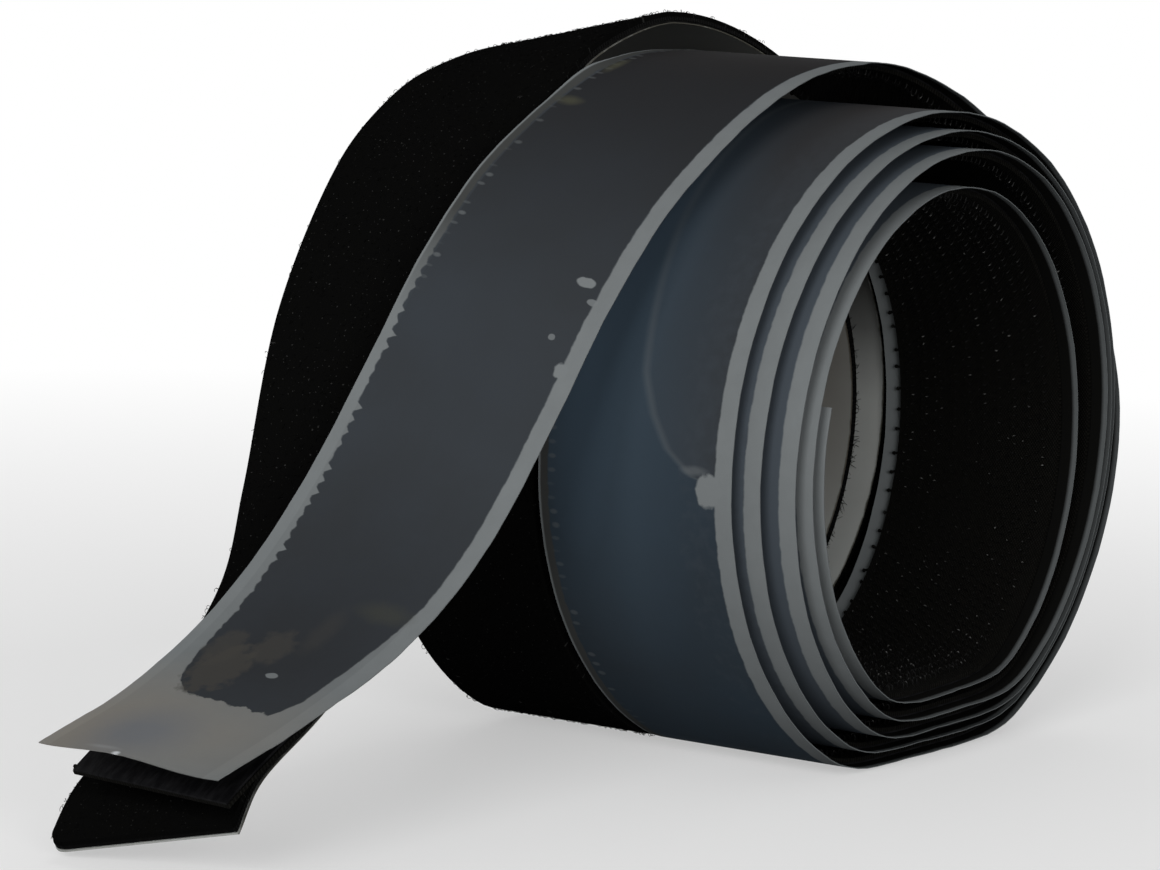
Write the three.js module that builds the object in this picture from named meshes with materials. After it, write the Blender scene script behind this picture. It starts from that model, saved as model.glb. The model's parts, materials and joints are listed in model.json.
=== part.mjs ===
// A pair of self-adhesive hook and loop tapes. Each tape is wound into a loose coil that lies on
// its round side, and its free tail leaves the top of the coil and runs down in front of it.
// Millimetres, +Z up. The coils' axis runs along X, the tails run towards -Y.
// Each tape is a stack of strips: release liner, adhesive, woven tape, and hooks or loop pile.
import * as THREE from "three";

// Widths across the tape
const TAPE_WIDTH = 25;
const NEAR_MARGIN = 2.3;
const FAR_MARGIN = 1.5;
const LOOP_MARGIN = 0.5;
const SELVAGE = 1;

// Thicknesses through the tape
const LINER = 0.12;
const ADHESIVE = 0.2;
const WEAVE = 0.45;
const HOOK_HEIGHT = 0.75;
const PILE_HEIGHT = 0.9;
const LAYER_GAP = 0.08;

// Coils: the hook coil's outer radius, and how much smaller the loop coil is wound
const COIL_RADIUS = 44.3;
const LOOP_TIGHTER = 2;
const HOOK_TURNS = 4.79;
const LOOP_TURNS = 3.75;
const STEPS_PER_TURN = 24;
const WINDING_GAP = 0.5;
const COIL_OVAL = 1.07;
const FLAT_DEPTH = 3;

// Each tape's outermost turn stands off its coil where the tail leaves it, over a share of a turn
const HOOK_LIFT = 3.2;
const HOOK_LIFT_TURNS = 0.3;
const LOOP_LIFT_TURNS = 0.5;

// The hook coil's last inner turn hangs clear of the turn above it
const SAG = 3;
const SAG_TURN = 4.1;
const SAG_TURNS = 0.36;

// The hook coil's inner turns stand out of its near side, further at the front than behind
const TELESCOPE = 4.4;
const TELESCOPE_SWING = 2.5;
const TELESCOPE_FROM = 1;
const TELESCOPE_TO = 3;

// The last inner turn is drawn in again behind
const DRAWN_IN = 1.8;
const DRAWN_IN_FROM = 3.5;
const DRAWN_IN_TO = 4.2;

// Both tails leave the top of their coil this far away from the hook coil's near side
const TAIL_SHIFT = 12.5;

// The loop coil stands beside the hook coil. Its outermost turn twists where it rises to the tail
const COIL_SPACING = 0.9;
const LOOP_FORWARD = 1.5;
const LOOP_RISE = 4.2;
const LOOP_TWIST = 13;

// The loop coil's last inner turns lie further from the hook coil than the others
const LOOP_SINK = 4.5;
const LOOP_SINK_FROM = 2;
const LOOP_SINK_TO = 3;

// Joint lines: the break between a coil and its tail, and the lines where the liners peel
const JOINT_GAP = 0.3;
const HOOK_FLAP = 30;
const LOOP_FLAP = 24;
const HOOK_DROOP = 4.5;
const LINER_OVERHANG = 3;
const TAIL_STEPS = 24;
const FLAP_STEPS = 6;

// Tail routes from the top of each coil: forward, down and sideways in millimetres, then the
// roll and the yaw of the tape's width in degrees. Each route is drawn out to its end's height
const HOOK_END_HEIGHT = 14.1;
const LOOP_END_HEIGHT = 4.3;
const HOOK_ROUTE = [
  [17.6, 2.1, 0, -4, 0],
  [40.7, 13.5, 0, -8, 0],
  [54.1, 25.5, 0, -10, 0],
  [64.9, 38.5, 0, -10, 0],
  [77, 51.9, 0, -8, 0],
  [90.5, 62, 0, -4, -2],
  [106.9, 69.2, 0, 0, -5],
  [123.3, 73.6, 0, 0, -5],
];
const LOOP_ROUTE = [
  [17.4, 3.3, 0.5, 9, 2],
  [25.8, 7.8, 1, 2, 4],
  [37.3, 15.3, 2.5, 1, 6],
  [53.6, 32.8, 6.5, 1, 8],
  [66.4, 53, 12, 3, 8],
  [73.6, 62.5, 15, 5, 8],
  [91.5, 73.5, 19, 9, 7],
  [107.8, 80.2, 22.4, 11, 8],
  [114.5, 84.8, 24.8, 12, 10],
];

const hookThickness = LINER + ADHESIVE + WEAVE + HOOK_HEIGHT + 3 * LAYER_GAP;
const loopThickness = LINER + ADHESIVE + WEAVE + PILE_HEIGHT + 3 * LAYER_GAP;

const finishes = {
  liner: new THREE.MeshStandardMaterial({ color: 0x6f767c, roughness: 0.35, metalness: 0 }),
  loopLiner: new THREE.MeshStandardMaterial({ color: 0x8a8378, roughness: 0.4, metalness: 0 }),
  adhesive: new THREE.MeshStandardMaterial({ color: 0x30363f, roughness: 0.3, metalness: 0 }),
  weave: new THREE.MeshStandardMaterial({ color: 0x0b0b0c, roughness: 0.85, metalness: 0 }),
  hooks: new THREE.MeshStandardMaterial({ color: 0x101011, roughness: 0.55, metalness: 0 }),
  pile: new THREE.MeshStandardMaterial({ color: 0x080809, roughness: 0.95, metalness: 0 }),
};

// How far a tape has left its coil for its tail: 1 at the top, 0 once the lift of the hook tape has ended
function leaving(count) {
  return 1 - THREE.MathUtils.smootherstep(count, 0, HOOK_LIFT_TURNS);
}

// One coil: its spiral in the plane across the axis, and each point's place along the axis
class Winding {
  constructor(shape) {
    Object.assign(this, shape);
    this.flatAngle = Math.acos(1 - FLAT_DEPTH / this.size);
  }

  radius(count) {
    const rise = this.lift * (1 - THREE.MathUtils.smootherstep(count, 0, this.liftTurns));
    const fromSag = Math.min(Math.abs(count - SAG_TURN) / SAG_TURNS, 1);
    const inward = this.sag * (1 + Math.cos(Math.PI * fromSag)) / 2;
    return this.size - this.pitch * count + rise - inward;
  }

  // Where the coil has its points: even steps round it, with one flat across the bottom
  turnCounts(turns) {
    const counts = [];
    for (let step = 0; step <= Math.round(turns * STEPS_PER_TURN); step += 1) {
      const past = (step + STEPS_PER_TURN / 2) % STEPS_PER_TURN;
      const fromBottom = 2 * Math.PI * Math.min(past, STEPS_PER_TURN - past) / STEPS_PER_TURN;
      const bends = past === 0 ? [-this.flatAngle, this.flatAngle] : [0];
      if (past !== 0 && fromBottom < this.flatAngle) continue;
      counts.push(...bends.map((bend) => ({ count: step / STEPS_PER_TURN, bend })));
    }
    return counts;
  }

  station({ count, bend }) {
    const angle = 2 * Math.PI * count + bend;
    const radius = this.radius(count);
    const point = new THREE.Vector3(
      this.along(count), COIL_OVAL * radius * Math.sin(angle), radius * Math.cos(angle));
    const roll = THREE.MathUtils.degToRad(this.twist * leaving(count));
    return { point: point.add(this.centre), across: new THREE.Vector3(Math.cos(roll), 0, Math.sin(roll)) };
  }

  stations() {
    return this.turnCounts(this.turns).map((turn) => this.station(turn));
  }

  // The height of a coil's axis over its own lowest flat, across the axis
  static axisHeight(size, pitch) {
    return (size - pitch / 2) * (1 - FLAT_DEPTH / size);
  }

  // The least clear space between each turn and the next one in, of a tape of this thickness
  leastGap(stations, thickness) {
    const turn = this.turnCounts(1).length - 1;
    const gaps = stations.slice(0, -turn).map(({ point, normal }, index) => {
      const next = stations[index + turn];
      const inside = point.clone().addScaledVector(normal, -thickness);
      return inside.sub(next.point).dot(next.normal) / next.normal.length();
    });
    return Math.min(...gaps);
  }
}

// The free tail: a curve from the top of the coil through the route's points
class Tail {
  constructor(winding, route, endHeight) {
    const before = winding.station({ count: 1 / STEPS_PER_TURN, bend: 0 });
    const top = winding.station({ count: 0, bend: 0 });
    const points = [before.point, top.point];
    const startRoll = THREE.MathUtils.radToDeg(Math.asin(top.across.z));
    this.turns = [[startRoll, 0], [startRoll, 0]];
    const drawn = (top.point.z - endHeight) / route.at(-1)[1];
    for (const [forward, down, side, roll, yaw] of route) {
      const reach = new THREE.Vector3(side, -forward * drawn, -down * drawn);
      points.push(top.point.clone().add(reach));
      this.turns.push([roll, yaw]);
    }
    this.curve = new THREE.CatmullRomCurve3(points, false, "centripetal");
    this.curve.arcLengthDivisions = 2000;
    this.length = this.curve.getLength();
    this.start = this.curve.getLengths()[Math.round(2000 / (points.length - 1))];
  }

  // The point and the direction of the width at a distance from the top of the coil
  station(distance) {
    const share = (this.start + distance) / this.length;
    const place = this.curve.getUtoTmapping(Math.min(share, 1)) * (this.turns.length - 1);
    const index = Math.min(Math.floor(place), this.turns.length - 2);
    const [roll, yaw] = [0, 1].map((part) => THREE.MathUtils.degToRad(
      THREE.MathUtils.lerp(this.turns[index][part], this.turns[index + 1][part], place - index)));
    const across = new THREE.Vector3(Math.cos(roll) * Math.cos(yaw), Math.sin(yaw), Math.sin(roll));
    return { point: this.curve.getPointAt(Math.min(share, 1)), across: across.normalize() };
  }

  stations(from, to, steps) {
    return Array.from({ length: steps + 1 }, (_, step) => (
      this.station(THREE.MathUtils.lerp(from, to, step / steps))));
  }

  get freeLength() {
    return this.length - this.start;
  }
}

// Outward normals along a strip, mitred so that every layer keeps its thickness on each facet
function addNormals(stations) {
  const facets = stations.slice(1).map((next, index) => {
    const along = next.point.clone().sub(stations[index].point);
    return stations[index].across.clone().add(next.across).cross(along).normalize();
  });
  stations.forEach((station, index) => {
    const before = facets[Math.max(index - 1, 0)];
    const after = facets[Math.min(index, facets.length - 1)];
    station.normal = before.clone().add(after).divideScalar(1 + before.dot(after));
  });
}

// A closed strip along the stations, between two depths under the outer face and two edges
function ribbon(stations, [outer, inner], [left, right]) {
  const positions = [];
  const triangles = [];
  const quad = (a, b, c, d) => triangles.push(a, b, c, a, c, d);
  for (const { point, across, normal } of stations) {
    for (const [depth, edge] of [[outer, left], [outer, right], [inner, right], [inner, left]]) {
      const corner = point.clone().addScaledVector(normal, -depth).addScaledVector(across, edge);
      positions.push(corner.x, corner.y, corner.z);
    }
  }
  for (let step = 0; step < stations.length - 1; step += 1) {
    const [a, b] = [4 * step, 4 * step + 4];
    quad(a, a + 1, b + 1, b);
    quad(a + 1, a + 2, b + 2, b + 1);
    quad(a + 3, b + 3, b + 2, a + 2);
    quad(a + 3, a, b, b + 3);
  }
  const last = 4 * (stations.length - 1);
  quad(0, 3, 2, 1);
  quad(last, last + 1, last + 2, last + 3);
  const geometry = new THREE.BufferGeometry();
  geometry.setAttribute("position", new THREE.Float32BufferAttribute(positions, 3));
  geometry.setIndex(triangles);
  geometry.computeVertexNormals();
  return geometry;
}

// Depths of a stack of layers, outermost first
function stack(layers) {
  let depth = 0;
  const depths = {};
  for (const [name, thickness] of layers) {
    depths[name] = [depth, depth + thickness];
    depth += thickness + LAYER_GAP;
  }
  return depths;
}

const part = new THREE.Group();

function addStrip(name, stations, depths, edges, material) {
  const mesh = new THREE.Mesh(ribbon(stations, depths, edges), material);
  mesh.name = name;
  part.add(mesh);
}

const half = TAPE_WIDTH / 2;
const tapeEdges = [-half, half];
const facingEdges = [SELVAGE - half, half - SELVAGE];

// Hook coil: the liner faces out and the hooks face the axis
const hookPitch = hookThickness + WINDING_GAP;
const hookHeight = Winding.axisHeight(COIL_RADIUS, hookPitch);
const hookWinding = new Winding({
  size: COIL_RADIUS,
  turns: HOOK_TURNS,
  pitch: hookPitch,
  lift: HOOK_LIFT,
  liftTurns: HOOK_LIFT_TURNS,
  sag: SAG,
  twist: 0,
  centre: new THREE.Vector3(-half - NEAR_MARGIN, 0, hookHeight),
  along: (count) => {
    const out = THREE.MathUtils.clamp((count - TELESCOPE_FROM) / (TELESCOPE_TO - TELESCOPE_FROM), 0, 1);
    const behind = Math.sin(2 * Math.PI * count);
    const drawn = DRAWN_IN * THREE.MathUtils.smootherstep(count, DRAWN_IN_FROM, DRAWN_IN_TO) * (1 + behind) / 2;
    return out * (TELESCOPE - TELESCOPE_SWING * behind) - drawn - leaving(count) * TAIL_SHIFT;
  },
});

// Loop coil: the pile faces out and the liner faces the axis
const loopPitch = loopThickness + WINDING_GAP;
const loopRadius = COIL_RADIUS - LOOP_TIGHTER;
const loopHalf = half + LOOP_MARGIN;
const loopNearSide = -TAPE_WIDTH - NEAR_MARGIN - FAR_MARGIN - COIL_SPACING;
const loopHeight = Winding.axisHeight(loopRadius, loopPitch);
const loopTop = hookHeight + COIL_RADIUS + HOOK_LIFT - hookThickness + LOOP_RISE;
const loopWinding = new Winding({
  size: loopRadius,
  turns: LOOP_TURNS,
  pitch: loopPitch,
  lift: loopTop - loopHeight - loopRadius,
  liftTurns: LOOP_LIFT_TURNS,
  sag: 0,
  twist: LOOP_TWIST,
  centre: new THREE.Vector3(loopNearSide - loopHalf, -LOOP_FORWARD, loopHeight),
  along: (count) => {
    const sunk = THREE.MathUtils.clamp((count - LOOP_SINK_FROM) / (LOOP_SINK_TO - LOOP_SINK_FROM), 0, 1);
    return -sunk * LOOP_SINK - leaving(count) * TAIL_SHIFT;
  },
});

// Builds one tape: its coil, its tail and the peelable end of its liner
function addTape(name, winding, route, layers) {
  const { facing, depths, linerEdges, linerFinish, flapLength, droop, overhang, endHeight } = layers;
  const tail = new Tail(winding, route, endHeight);
  const peel = tail.freeLength - flapLength;
  const coil = winding.stations();
  const held = tail.stations(peel, JOINT_GAP, TAIL_STEPS);
  const flap = tail.stations(tail.freeLength, peel + JOINT_GAP, FLAP_STEPS);
  addNormals([...flap, ...held, ...coil]);

  // Under its free liner the tape itself falls away, and it ends a little short of the liner
  const end = tail.stations(tail.freeLength - overhang, peel, FLAP_STEPS).slice(0, -1);
  end.forEach((station, index) => {
    const share = 1 - index / FLAP_STEPS;
    station.point.addScaledVector(flap[index].normal, -droop * share ** 2);
  });
  addNormals([...end, ...held, ...coil]);

  for (const [place, tape, liner] of [["coil", coil, coil], ["tail", [...end, ...held], held]]) {
    addStrip(`${name}_${place}_liner`, liner, depths.liner, linerEdges, linerFinish);
    addStrip(`${name}_${place}_adhesive`, tape, depths.adhesive, tapeEdges, finishes.adhesive);
    addStrip(`${name}_${place}_weave`, tape, depths.weave, tapeEdges, finishes.weave);
    addStrip(`${name}_${place}_${facing}`, tape, depths[facing], facingEdges, finishes[facing]);
  }
  addStrip(`${name}_liner_flap`, flap, depths.liner, linerEdges, linerFinish);
  return coil;
}

const hookCoil = addTape("hook", hookWinding, HOOK_ROUTE, {
  facing: "hooks",
  depths: stack([["liner", LINER], ["adhesive", ADHESIVE], ["weave", WEAVE], ["hooks", HOOK_HEIGHT]]),
  linerEdges: [-half - FAR_MARGIN, half + NEAR_MARGIN],
  linerFinish: finishes.liner,
  flapLength: HOOK_FLAP,
  droop: HOOK_DROOP,
  overhang: LINER_OVERHANG,
  endHeight: HOOK_END_HEIGHT,
});
const loopCoil = addTape("loop", loopWinding, LOOP_ROUTE, {
  facing: "pile",
  depths: stack([["pile", PILE_HEIGHT], ["weave", WEAVE], ["adhesive", ADHESIVE], ["liner", LINER]]),
  linerEdges: [-loopHalf, loopHalf],
  linerFinish: finishes.loopLiner,
  flapLength: LOOP_FLAP,
  droop: 0,
  overhang: 0,
  endHeight: LOOP_END_HEIGHT,
});

// The origin lies on the floor under the middle of the whole part
const bounds = new THREE.Box3().setFromObject(part);
const middle = bounds.getCenter(new THREE.Vector3());
part.position.set(-middle.x, -middle.y, -bounds.min.z);
part.updateMatrixWorld(true);

console.log("least gap between hook turns", hookWinding.leastGap(hookCoil, hookThickness).toFixed(2));
console.log("least gap between loop turns", loopWinding.leastGap(loopCoil, loopThickness).toFixed(2));

export default part;
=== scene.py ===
"""Looks of a pair of self-adhesive hook and loop tapes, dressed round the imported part.

Each tape is one long course. It starts at the free end of the tail, climbs to the top of its coil and winds
inwards. Every layer of a tape is a strip along that course, cut into the pieces that move with each body.
Sizes are in millimetres until a mesh is made, and metres from there on.
"""

import json
import logging
import math
from dataclasses import dataclass, field
from enum import Enum

import bpy
import numpy as np
from mathutils import Matrix, Vector


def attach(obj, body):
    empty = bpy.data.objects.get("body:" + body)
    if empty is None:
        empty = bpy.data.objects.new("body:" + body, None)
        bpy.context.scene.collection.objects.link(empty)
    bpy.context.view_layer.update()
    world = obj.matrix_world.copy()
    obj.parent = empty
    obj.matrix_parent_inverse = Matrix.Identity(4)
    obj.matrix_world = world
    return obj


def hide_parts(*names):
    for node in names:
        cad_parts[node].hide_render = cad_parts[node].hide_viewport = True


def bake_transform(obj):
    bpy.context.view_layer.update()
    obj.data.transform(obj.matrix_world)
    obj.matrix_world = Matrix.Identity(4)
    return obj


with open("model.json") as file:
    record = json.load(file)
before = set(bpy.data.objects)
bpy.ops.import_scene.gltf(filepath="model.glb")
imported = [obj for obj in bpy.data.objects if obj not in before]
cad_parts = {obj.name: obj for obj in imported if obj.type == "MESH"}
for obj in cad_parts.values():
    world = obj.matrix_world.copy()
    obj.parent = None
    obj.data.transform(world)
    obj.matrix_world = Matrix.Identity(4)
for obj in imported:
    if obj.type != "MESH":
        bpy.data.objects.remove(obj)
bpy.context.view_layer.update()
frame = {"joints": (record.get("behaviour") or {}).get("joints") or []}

LOG = logging.getLogger("tapes")
MM = 0.001
FULL_TURN = 2 * math.pi
SHARP_ANGLE = math.radians(50)
THREAD_SIDES = 3
KNOT_SIDES = 5

Array = np.ndarray
Piece = bpy.types.Object
Socket = bpy.types.NodeSocket
Span = tuple[float, float]
Rows = tuple[Span, ...]
Place = tuple[float, float, float]
Colour = tuple[float, float, float, float]
Mesh = tuple[Array, list[Array], dict[str, Array]]


class Layer(Enum):
    """The layers of a tape. Each value is the layer's word in the names of the part's nodes."""

    LINER = "liner"
    ADHESIVE = "adhesive"
    WEAVE = "weave"
    HOOKS = "hooks"
    PILE = "pile"


class Stretch(Enum):
    """The stretches of a tape that move on their own. Only the liner has a flap."""

    COIL = "coil"
    TAIL = "tail"
    FLAP = "flap"


def ease(value: Array | float, start: float, end: float) -> Array:
    """Rises smoothly from 0 at the start to 1 at the end, and stays there outside them."""
    share = np.clip((value - start) / (end - start), 0, 1)
    return share**3 * (share * (6 * share - 15) + 10)


def soft_min(first: Array, second: Array, width: float) -> Array:
    """The smaller of two values, rounded where they cross within the given width."""
    share = np.clip(0.5 + 0.5 * (second - first) / width, 0, 1)
    return first * share + second * (1 - share) - width * share * (1 - share)


def unit(vectors: Array) -> Array:
    """The vectors at length 1."""
    return vectors / np.linalg.norm(vectors, axis=-1, keepdims=True)


def ripple(distance: Array, length: float, phase: float) -> Array:
    """An uneven wave between about -1 and 1.

    Args:
        distance: Where to read the wave.
        length: The wave's main length.
        phase: Where the wave starts, so that two waves differ.

    Returns:
        The wave's height at each distance.
    """
    turn = FULL_TURN * distance / length
    quick, slow = np.sin(2.37 * turn + 2.1 * phase), np.sin(0.41 * turn - phase)
    return (np.sin(turn + phase) + 0.6 * quick + 0.4 * slow) / 2


def joint_place(name: str) -> Array:
    """The place of a joint of the part, in millimetres."""
    found = next(joint for joint in frame["joints"] if joint["name"] == name)
    return np.array(found["pos_m"]) / MM


@dataclass
class Course:
    """The outer face of a tape along its middle, from the free end inwards.

    Attributes:
        points: Places along the course.
        across: Directions of the tape's width at those places.
        normals: Outward directions, square to the course and to its width.
        along: Distances from the free end.
    """

    points: Array
    across: Array
    normals: Array
    along: Array

    @classmethod
    def through(cls, points: Array, across: Array) -> "Course":
        """Measures a course.

        Args:
            points: Places along the course.
            across: Directions of the tape's width there.

        Returns:
            The course.
        """
        steps = np.linalg.norm(np.diff(points, axis=0), axis=1)
        along = np.concatenate([[0], np.cumsum(steps)])
        return cls(points, unit(across), unit(np.cross(across, np.gradient(points, along, axis=0))), along)

    @property
    def ahead(self) -> Array:
        """Directions square to the normals and to the width."""
        return unit(np.cross(self.normals, self.across))

    def at(self, distances: Array) -> "Course":
        """Reads the course at other places.

        Args:
            distances: Distances from the free end.

        Returns:
            The course there.
        """
        points, across, normals = (
            np.stack([np.interp(distances, self.along, values[:, axis]) for axis in range(3)], 1)
            for values in (self.points, self.across, self.normals)
        )
        return Course(points, unit(across), unit(normals), np.asarray(distances))

    def raised(self, heights: Array) -> "Course":
        """The course moved outwards by a height at each place, with its distances kept."""
        raised = Course.through(self.points + self.normals * heights[:, None], self.across)
        return Course(raised.points, raised.across, raised.normals, self.along)

    def place(self, depth: Array | float, edge: Array | float) -> Array:
        """Places under the outer face and beside the middle line, one for each place of the course."""
        depth, edge = np.reshape(depth, (-1, 1)), np.reshape(edge, (-1, 1))
        return self.points - self.normals * depth + self.across * edge


@dataclass(frozen=True)
class Winding:
    """A loose coil on its round side.

    Attributes:
        top: Where the tape leaves the coil.
        radius: The outer radius without the lift.
        turns: How many times the tape goes round.
        pitch: The step from one turn to the next.
        lift: How far the outermost turn stands off at the top.
        lift_turns: The share of a turn over which it does so.
        twist: The roll of the tape at the top, in degrees.
        oval: The width of the coil over its height.
        flat_depth: How deep the bottom is pressed flat.
        bottom_rounding: How softly the flat bottom goes over into the round.
        tail_shift: How far aside the tape leaves the coil.
        leave_turns: The share of a turn over which it twists and goes aside.
    """

    top: Array
    radius: float
    turns: float
    pitch: float
    lift: float
    lift_turns: float
    twist: float = 0.0
    oval: float = 1.07
    flat_depth: float = 3.0
    bottom_rounding: float = 2.4
    tail_shift: float = 12.5
    leave_turns: float = 0.3

    def leaving(self, count: Array) -> Array:
        """How far the tape has left its coil for its tail, 1 at the top."""
        return 1 - ease(count, 0, self.leave_turns)

    def reach(self, count: Array) -> Array:
        """The radius after a count of turns."""
        return self.radius - self.pitch * count + self.lift * (1 - ease(count, 0, self.lift_turns))

    def aside(self, count: Array) -> Array:
        """The place along the axis after a count of turns."""
        return -self.tail_shift * self.leaving(count)

    def across(self, count: Array) -> Array:
        """The direction of the tape's width after each count of turns."""
        roll = np.radians(self.twist) * self.leaving(count)
        return np.stack([np.cos(roll), np.zeros_like(roll), np.sin(roll)], 1)

    def points(self, count: Array) -> Array:
        """Places on the outer face after each count of turns.

        Args:
            count: Turns from the top of the coil, inwards.

        Returns:
            One place for each count.
        """
        angle = FULL_TURN * count
        reach = self.reach(count)
        bottom = self.reach(np.floor(count) + 0.5) * (1 - self.flat_depth / self.radius)
        height = -soft_min(-reach * np.cos(angle), bottom, self.bottom_rounding)
        start = np.zeros(1)
        centre = self.top - np.array([self.aside(start)[0], 0, self.reach(start)[0]])
        return centre + np.stack([self.aside(count), self.oval * reach * np.sin(angle), height], 1)


@dataclass(frozen=True)
class HookWinding(Winding):
    """The hook tape's coil, whose inner turns stand out of its near side and hang clear at the top.

    Attributes:
        sag: How far the inner turn hangs clear.
        sag_turn: The count of turns where it hangs lowest.
        sag_turns: The count of turns on each side over which it sags.
        telescope: How far the inner turns stand out.
        telescope_swing: How much less they do so behind.
        telescope_from: The count of turns where they start to stand out.
        telescope_to: The count of turns from which they are all the way out.
        drawn_in: How far the last inner turn is drawn in again behind.
        drawn_in_from: The count of turns where that starts.
        drawn_in_to: The count of turns from which it is all the way in.
    """

    sag: float = 3.0
    sag_turn: float = 4.1
    sag_turns: float = 0.36
    telescope: float = 4.4
    telescope_swing: float = 2.5
    telescope_from: float = 1.0
    telescope_to: float = 3.0
    drawn_in: float = 1.8
    drawn_in_from: float = 3.5
    drawn_in_to: float = 4.2

    def reach(self, count: Array) -> Array:
        """The radius after a count of turns."""
        away = np.minimum(np.abs(count - self.sag_turn) / self.sag_turns, 1)
        return super().reach(count) - self.sag * (1 + np.cos(math.pi * away)) / 2

    def aside(self, count: Array) -> Array:
        """Finds the place along the axis.

        Args:
            count: Turns from the top of the coil, inwards.

        Returns:
            One place for each count.
        """
        out = np.clip((count - self.telescope_from) / (self.telescope_to - self.telescope_from), 0, 1)
        behind = np.sin(FULL_TURN * count)
        drawn = self.drawn_in * ease(count, self.drawn_in_from, self.drawn_in_to) * (1 + behind) / 2
        return super().aside(count) + out * (self.telescope - self.telescope_swing * behind) - drawn


@dataclass(frozen=True)
class LoopWinding(Winding):
    """The loop tape's coil, whose last inner turns lie further from the hook coil.

    Attributes:
        sink: How much further they lie.
        sink_from: The count of turns where they start to.
        sink_to: The count of turns from which they all do.
    """

    sink: float = 4.5
    sink_from: float = 2.0
    sink_to: float = 3.0

    def aside(self, count: Array) -> Array:
        """The place along the axis after a count of turns."""
        sunk = np.clip((count - self.sink_from) / (self.sink_to - self.sink_from), 0, 1)
        return super().aside(count) - self.sink * sunk


@dataclass(frozen=True)
class TailRoute:
    """The way of a tail down from the top of its coil.

    Attributes:
        rows: Forward, down and sideways from the top, then the width's roll and yaw in degrees.
        end_height: The height of the tail's end over the floor.
        turn_steps: The part of a turn that the tail takes its first direction from, as a count in a turn.
        span_steps: How many places are drawn between two rows.
        settle: Over how many places the roll and the yaw are smoothed.
    """

    rows: tuple[tuple[float, float, float, float, float], ...]
    end_height: float
    turn_steps: int = 24
    span_steps: int = 60
    settle: int = 41

    def course(self, winding: Winding) -> tuple[Array, Array]:
        """Draws the tail from its end up to the top of the coil.

        Args:
            winding: The coil that the tail leaves.

        Returns:
            The tail's places and its width's directions, from the end to the coil.
        """
        before, top = winding.points(np.array([1 / self.turn_steps, 0.0]))
        rows = np.array(self.rows)
        drawn = (top[2] - self.end_height) / rows[-1, 1]
        stops = top + np.stack([rows[:, 2], -rows[:, 0] * drawn, -rows[:, 1] * drawn], 1)
        knots = np.vstack([before, top, stops])
        rolls = np.radians(np.concatenate([[winding.twist, winding.twist], rows[:, 3]]))
        yaws = np.radians(np.concatenate([[0, 0], rows[:, 4]]))
        places = np.linspace(1, len(knots) - 1, (len(knots) - 2) * self.span_steps + 1)
        roll, yaw = (self._settled(np.interp(places, range(len(knots)), turns)) for turns in (rolls, yaws))
        across = np.stack([np.cos(roll) * np.cos(yaw), np.sin(yaw), np.sin(roll)], 1)
        return self._spline(knots, places)[::-1], unit(across)[::-1]

    def _settled(self, values: Array) -> Array:
        """The values with their corners smoothed."""
        padded = np.pad(values, self.settle // 2, mode="edge")
        return np.convolve(padded, np.ones(self.settle) / self.settle, mode="valid")

    @staticmethod
    def _spline(knots: Array, places: Array) -> Array:
        """A centripetal curve through the knots.

        Args:
            knots: Places that the curve goes through.
            places: Where to read it, counted in knots.

        Returns:
            The curve's places.
        """
        ends = np.vstack([2 * knots[0] - knots[1], knots, 2 * knots[-1] - knots[-2]])
        index = np.minimum(places.astype(int), len(knots) - 2)
        share = (places - index)[:, None]
        near = [ends[index + step] for step in range(4)]
        d0, d1, d2 = (np.sqrt(np.linalg.norm(b - a, axis=1))[:, None] for a, b in zip(near, near[1:]))
        p0, p1, p2, p3 = near
        t1 = ((p1 - p0) / d0 - (p2 - p0) / (d0 + d1) + (p2 - p1) / d1) * d1
        t2 = ((p2 - p1) / d1 - (p3 - p1) / (d1 + d2) + (p3 - p2) / d2) * d1
        square = (3 * (p2 - p1) - 2 * t1 - t2) * share**2
        return p1 + t1 * share + square + (2 * (p1 - p2) + t1 + t2) * share**3


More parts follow.
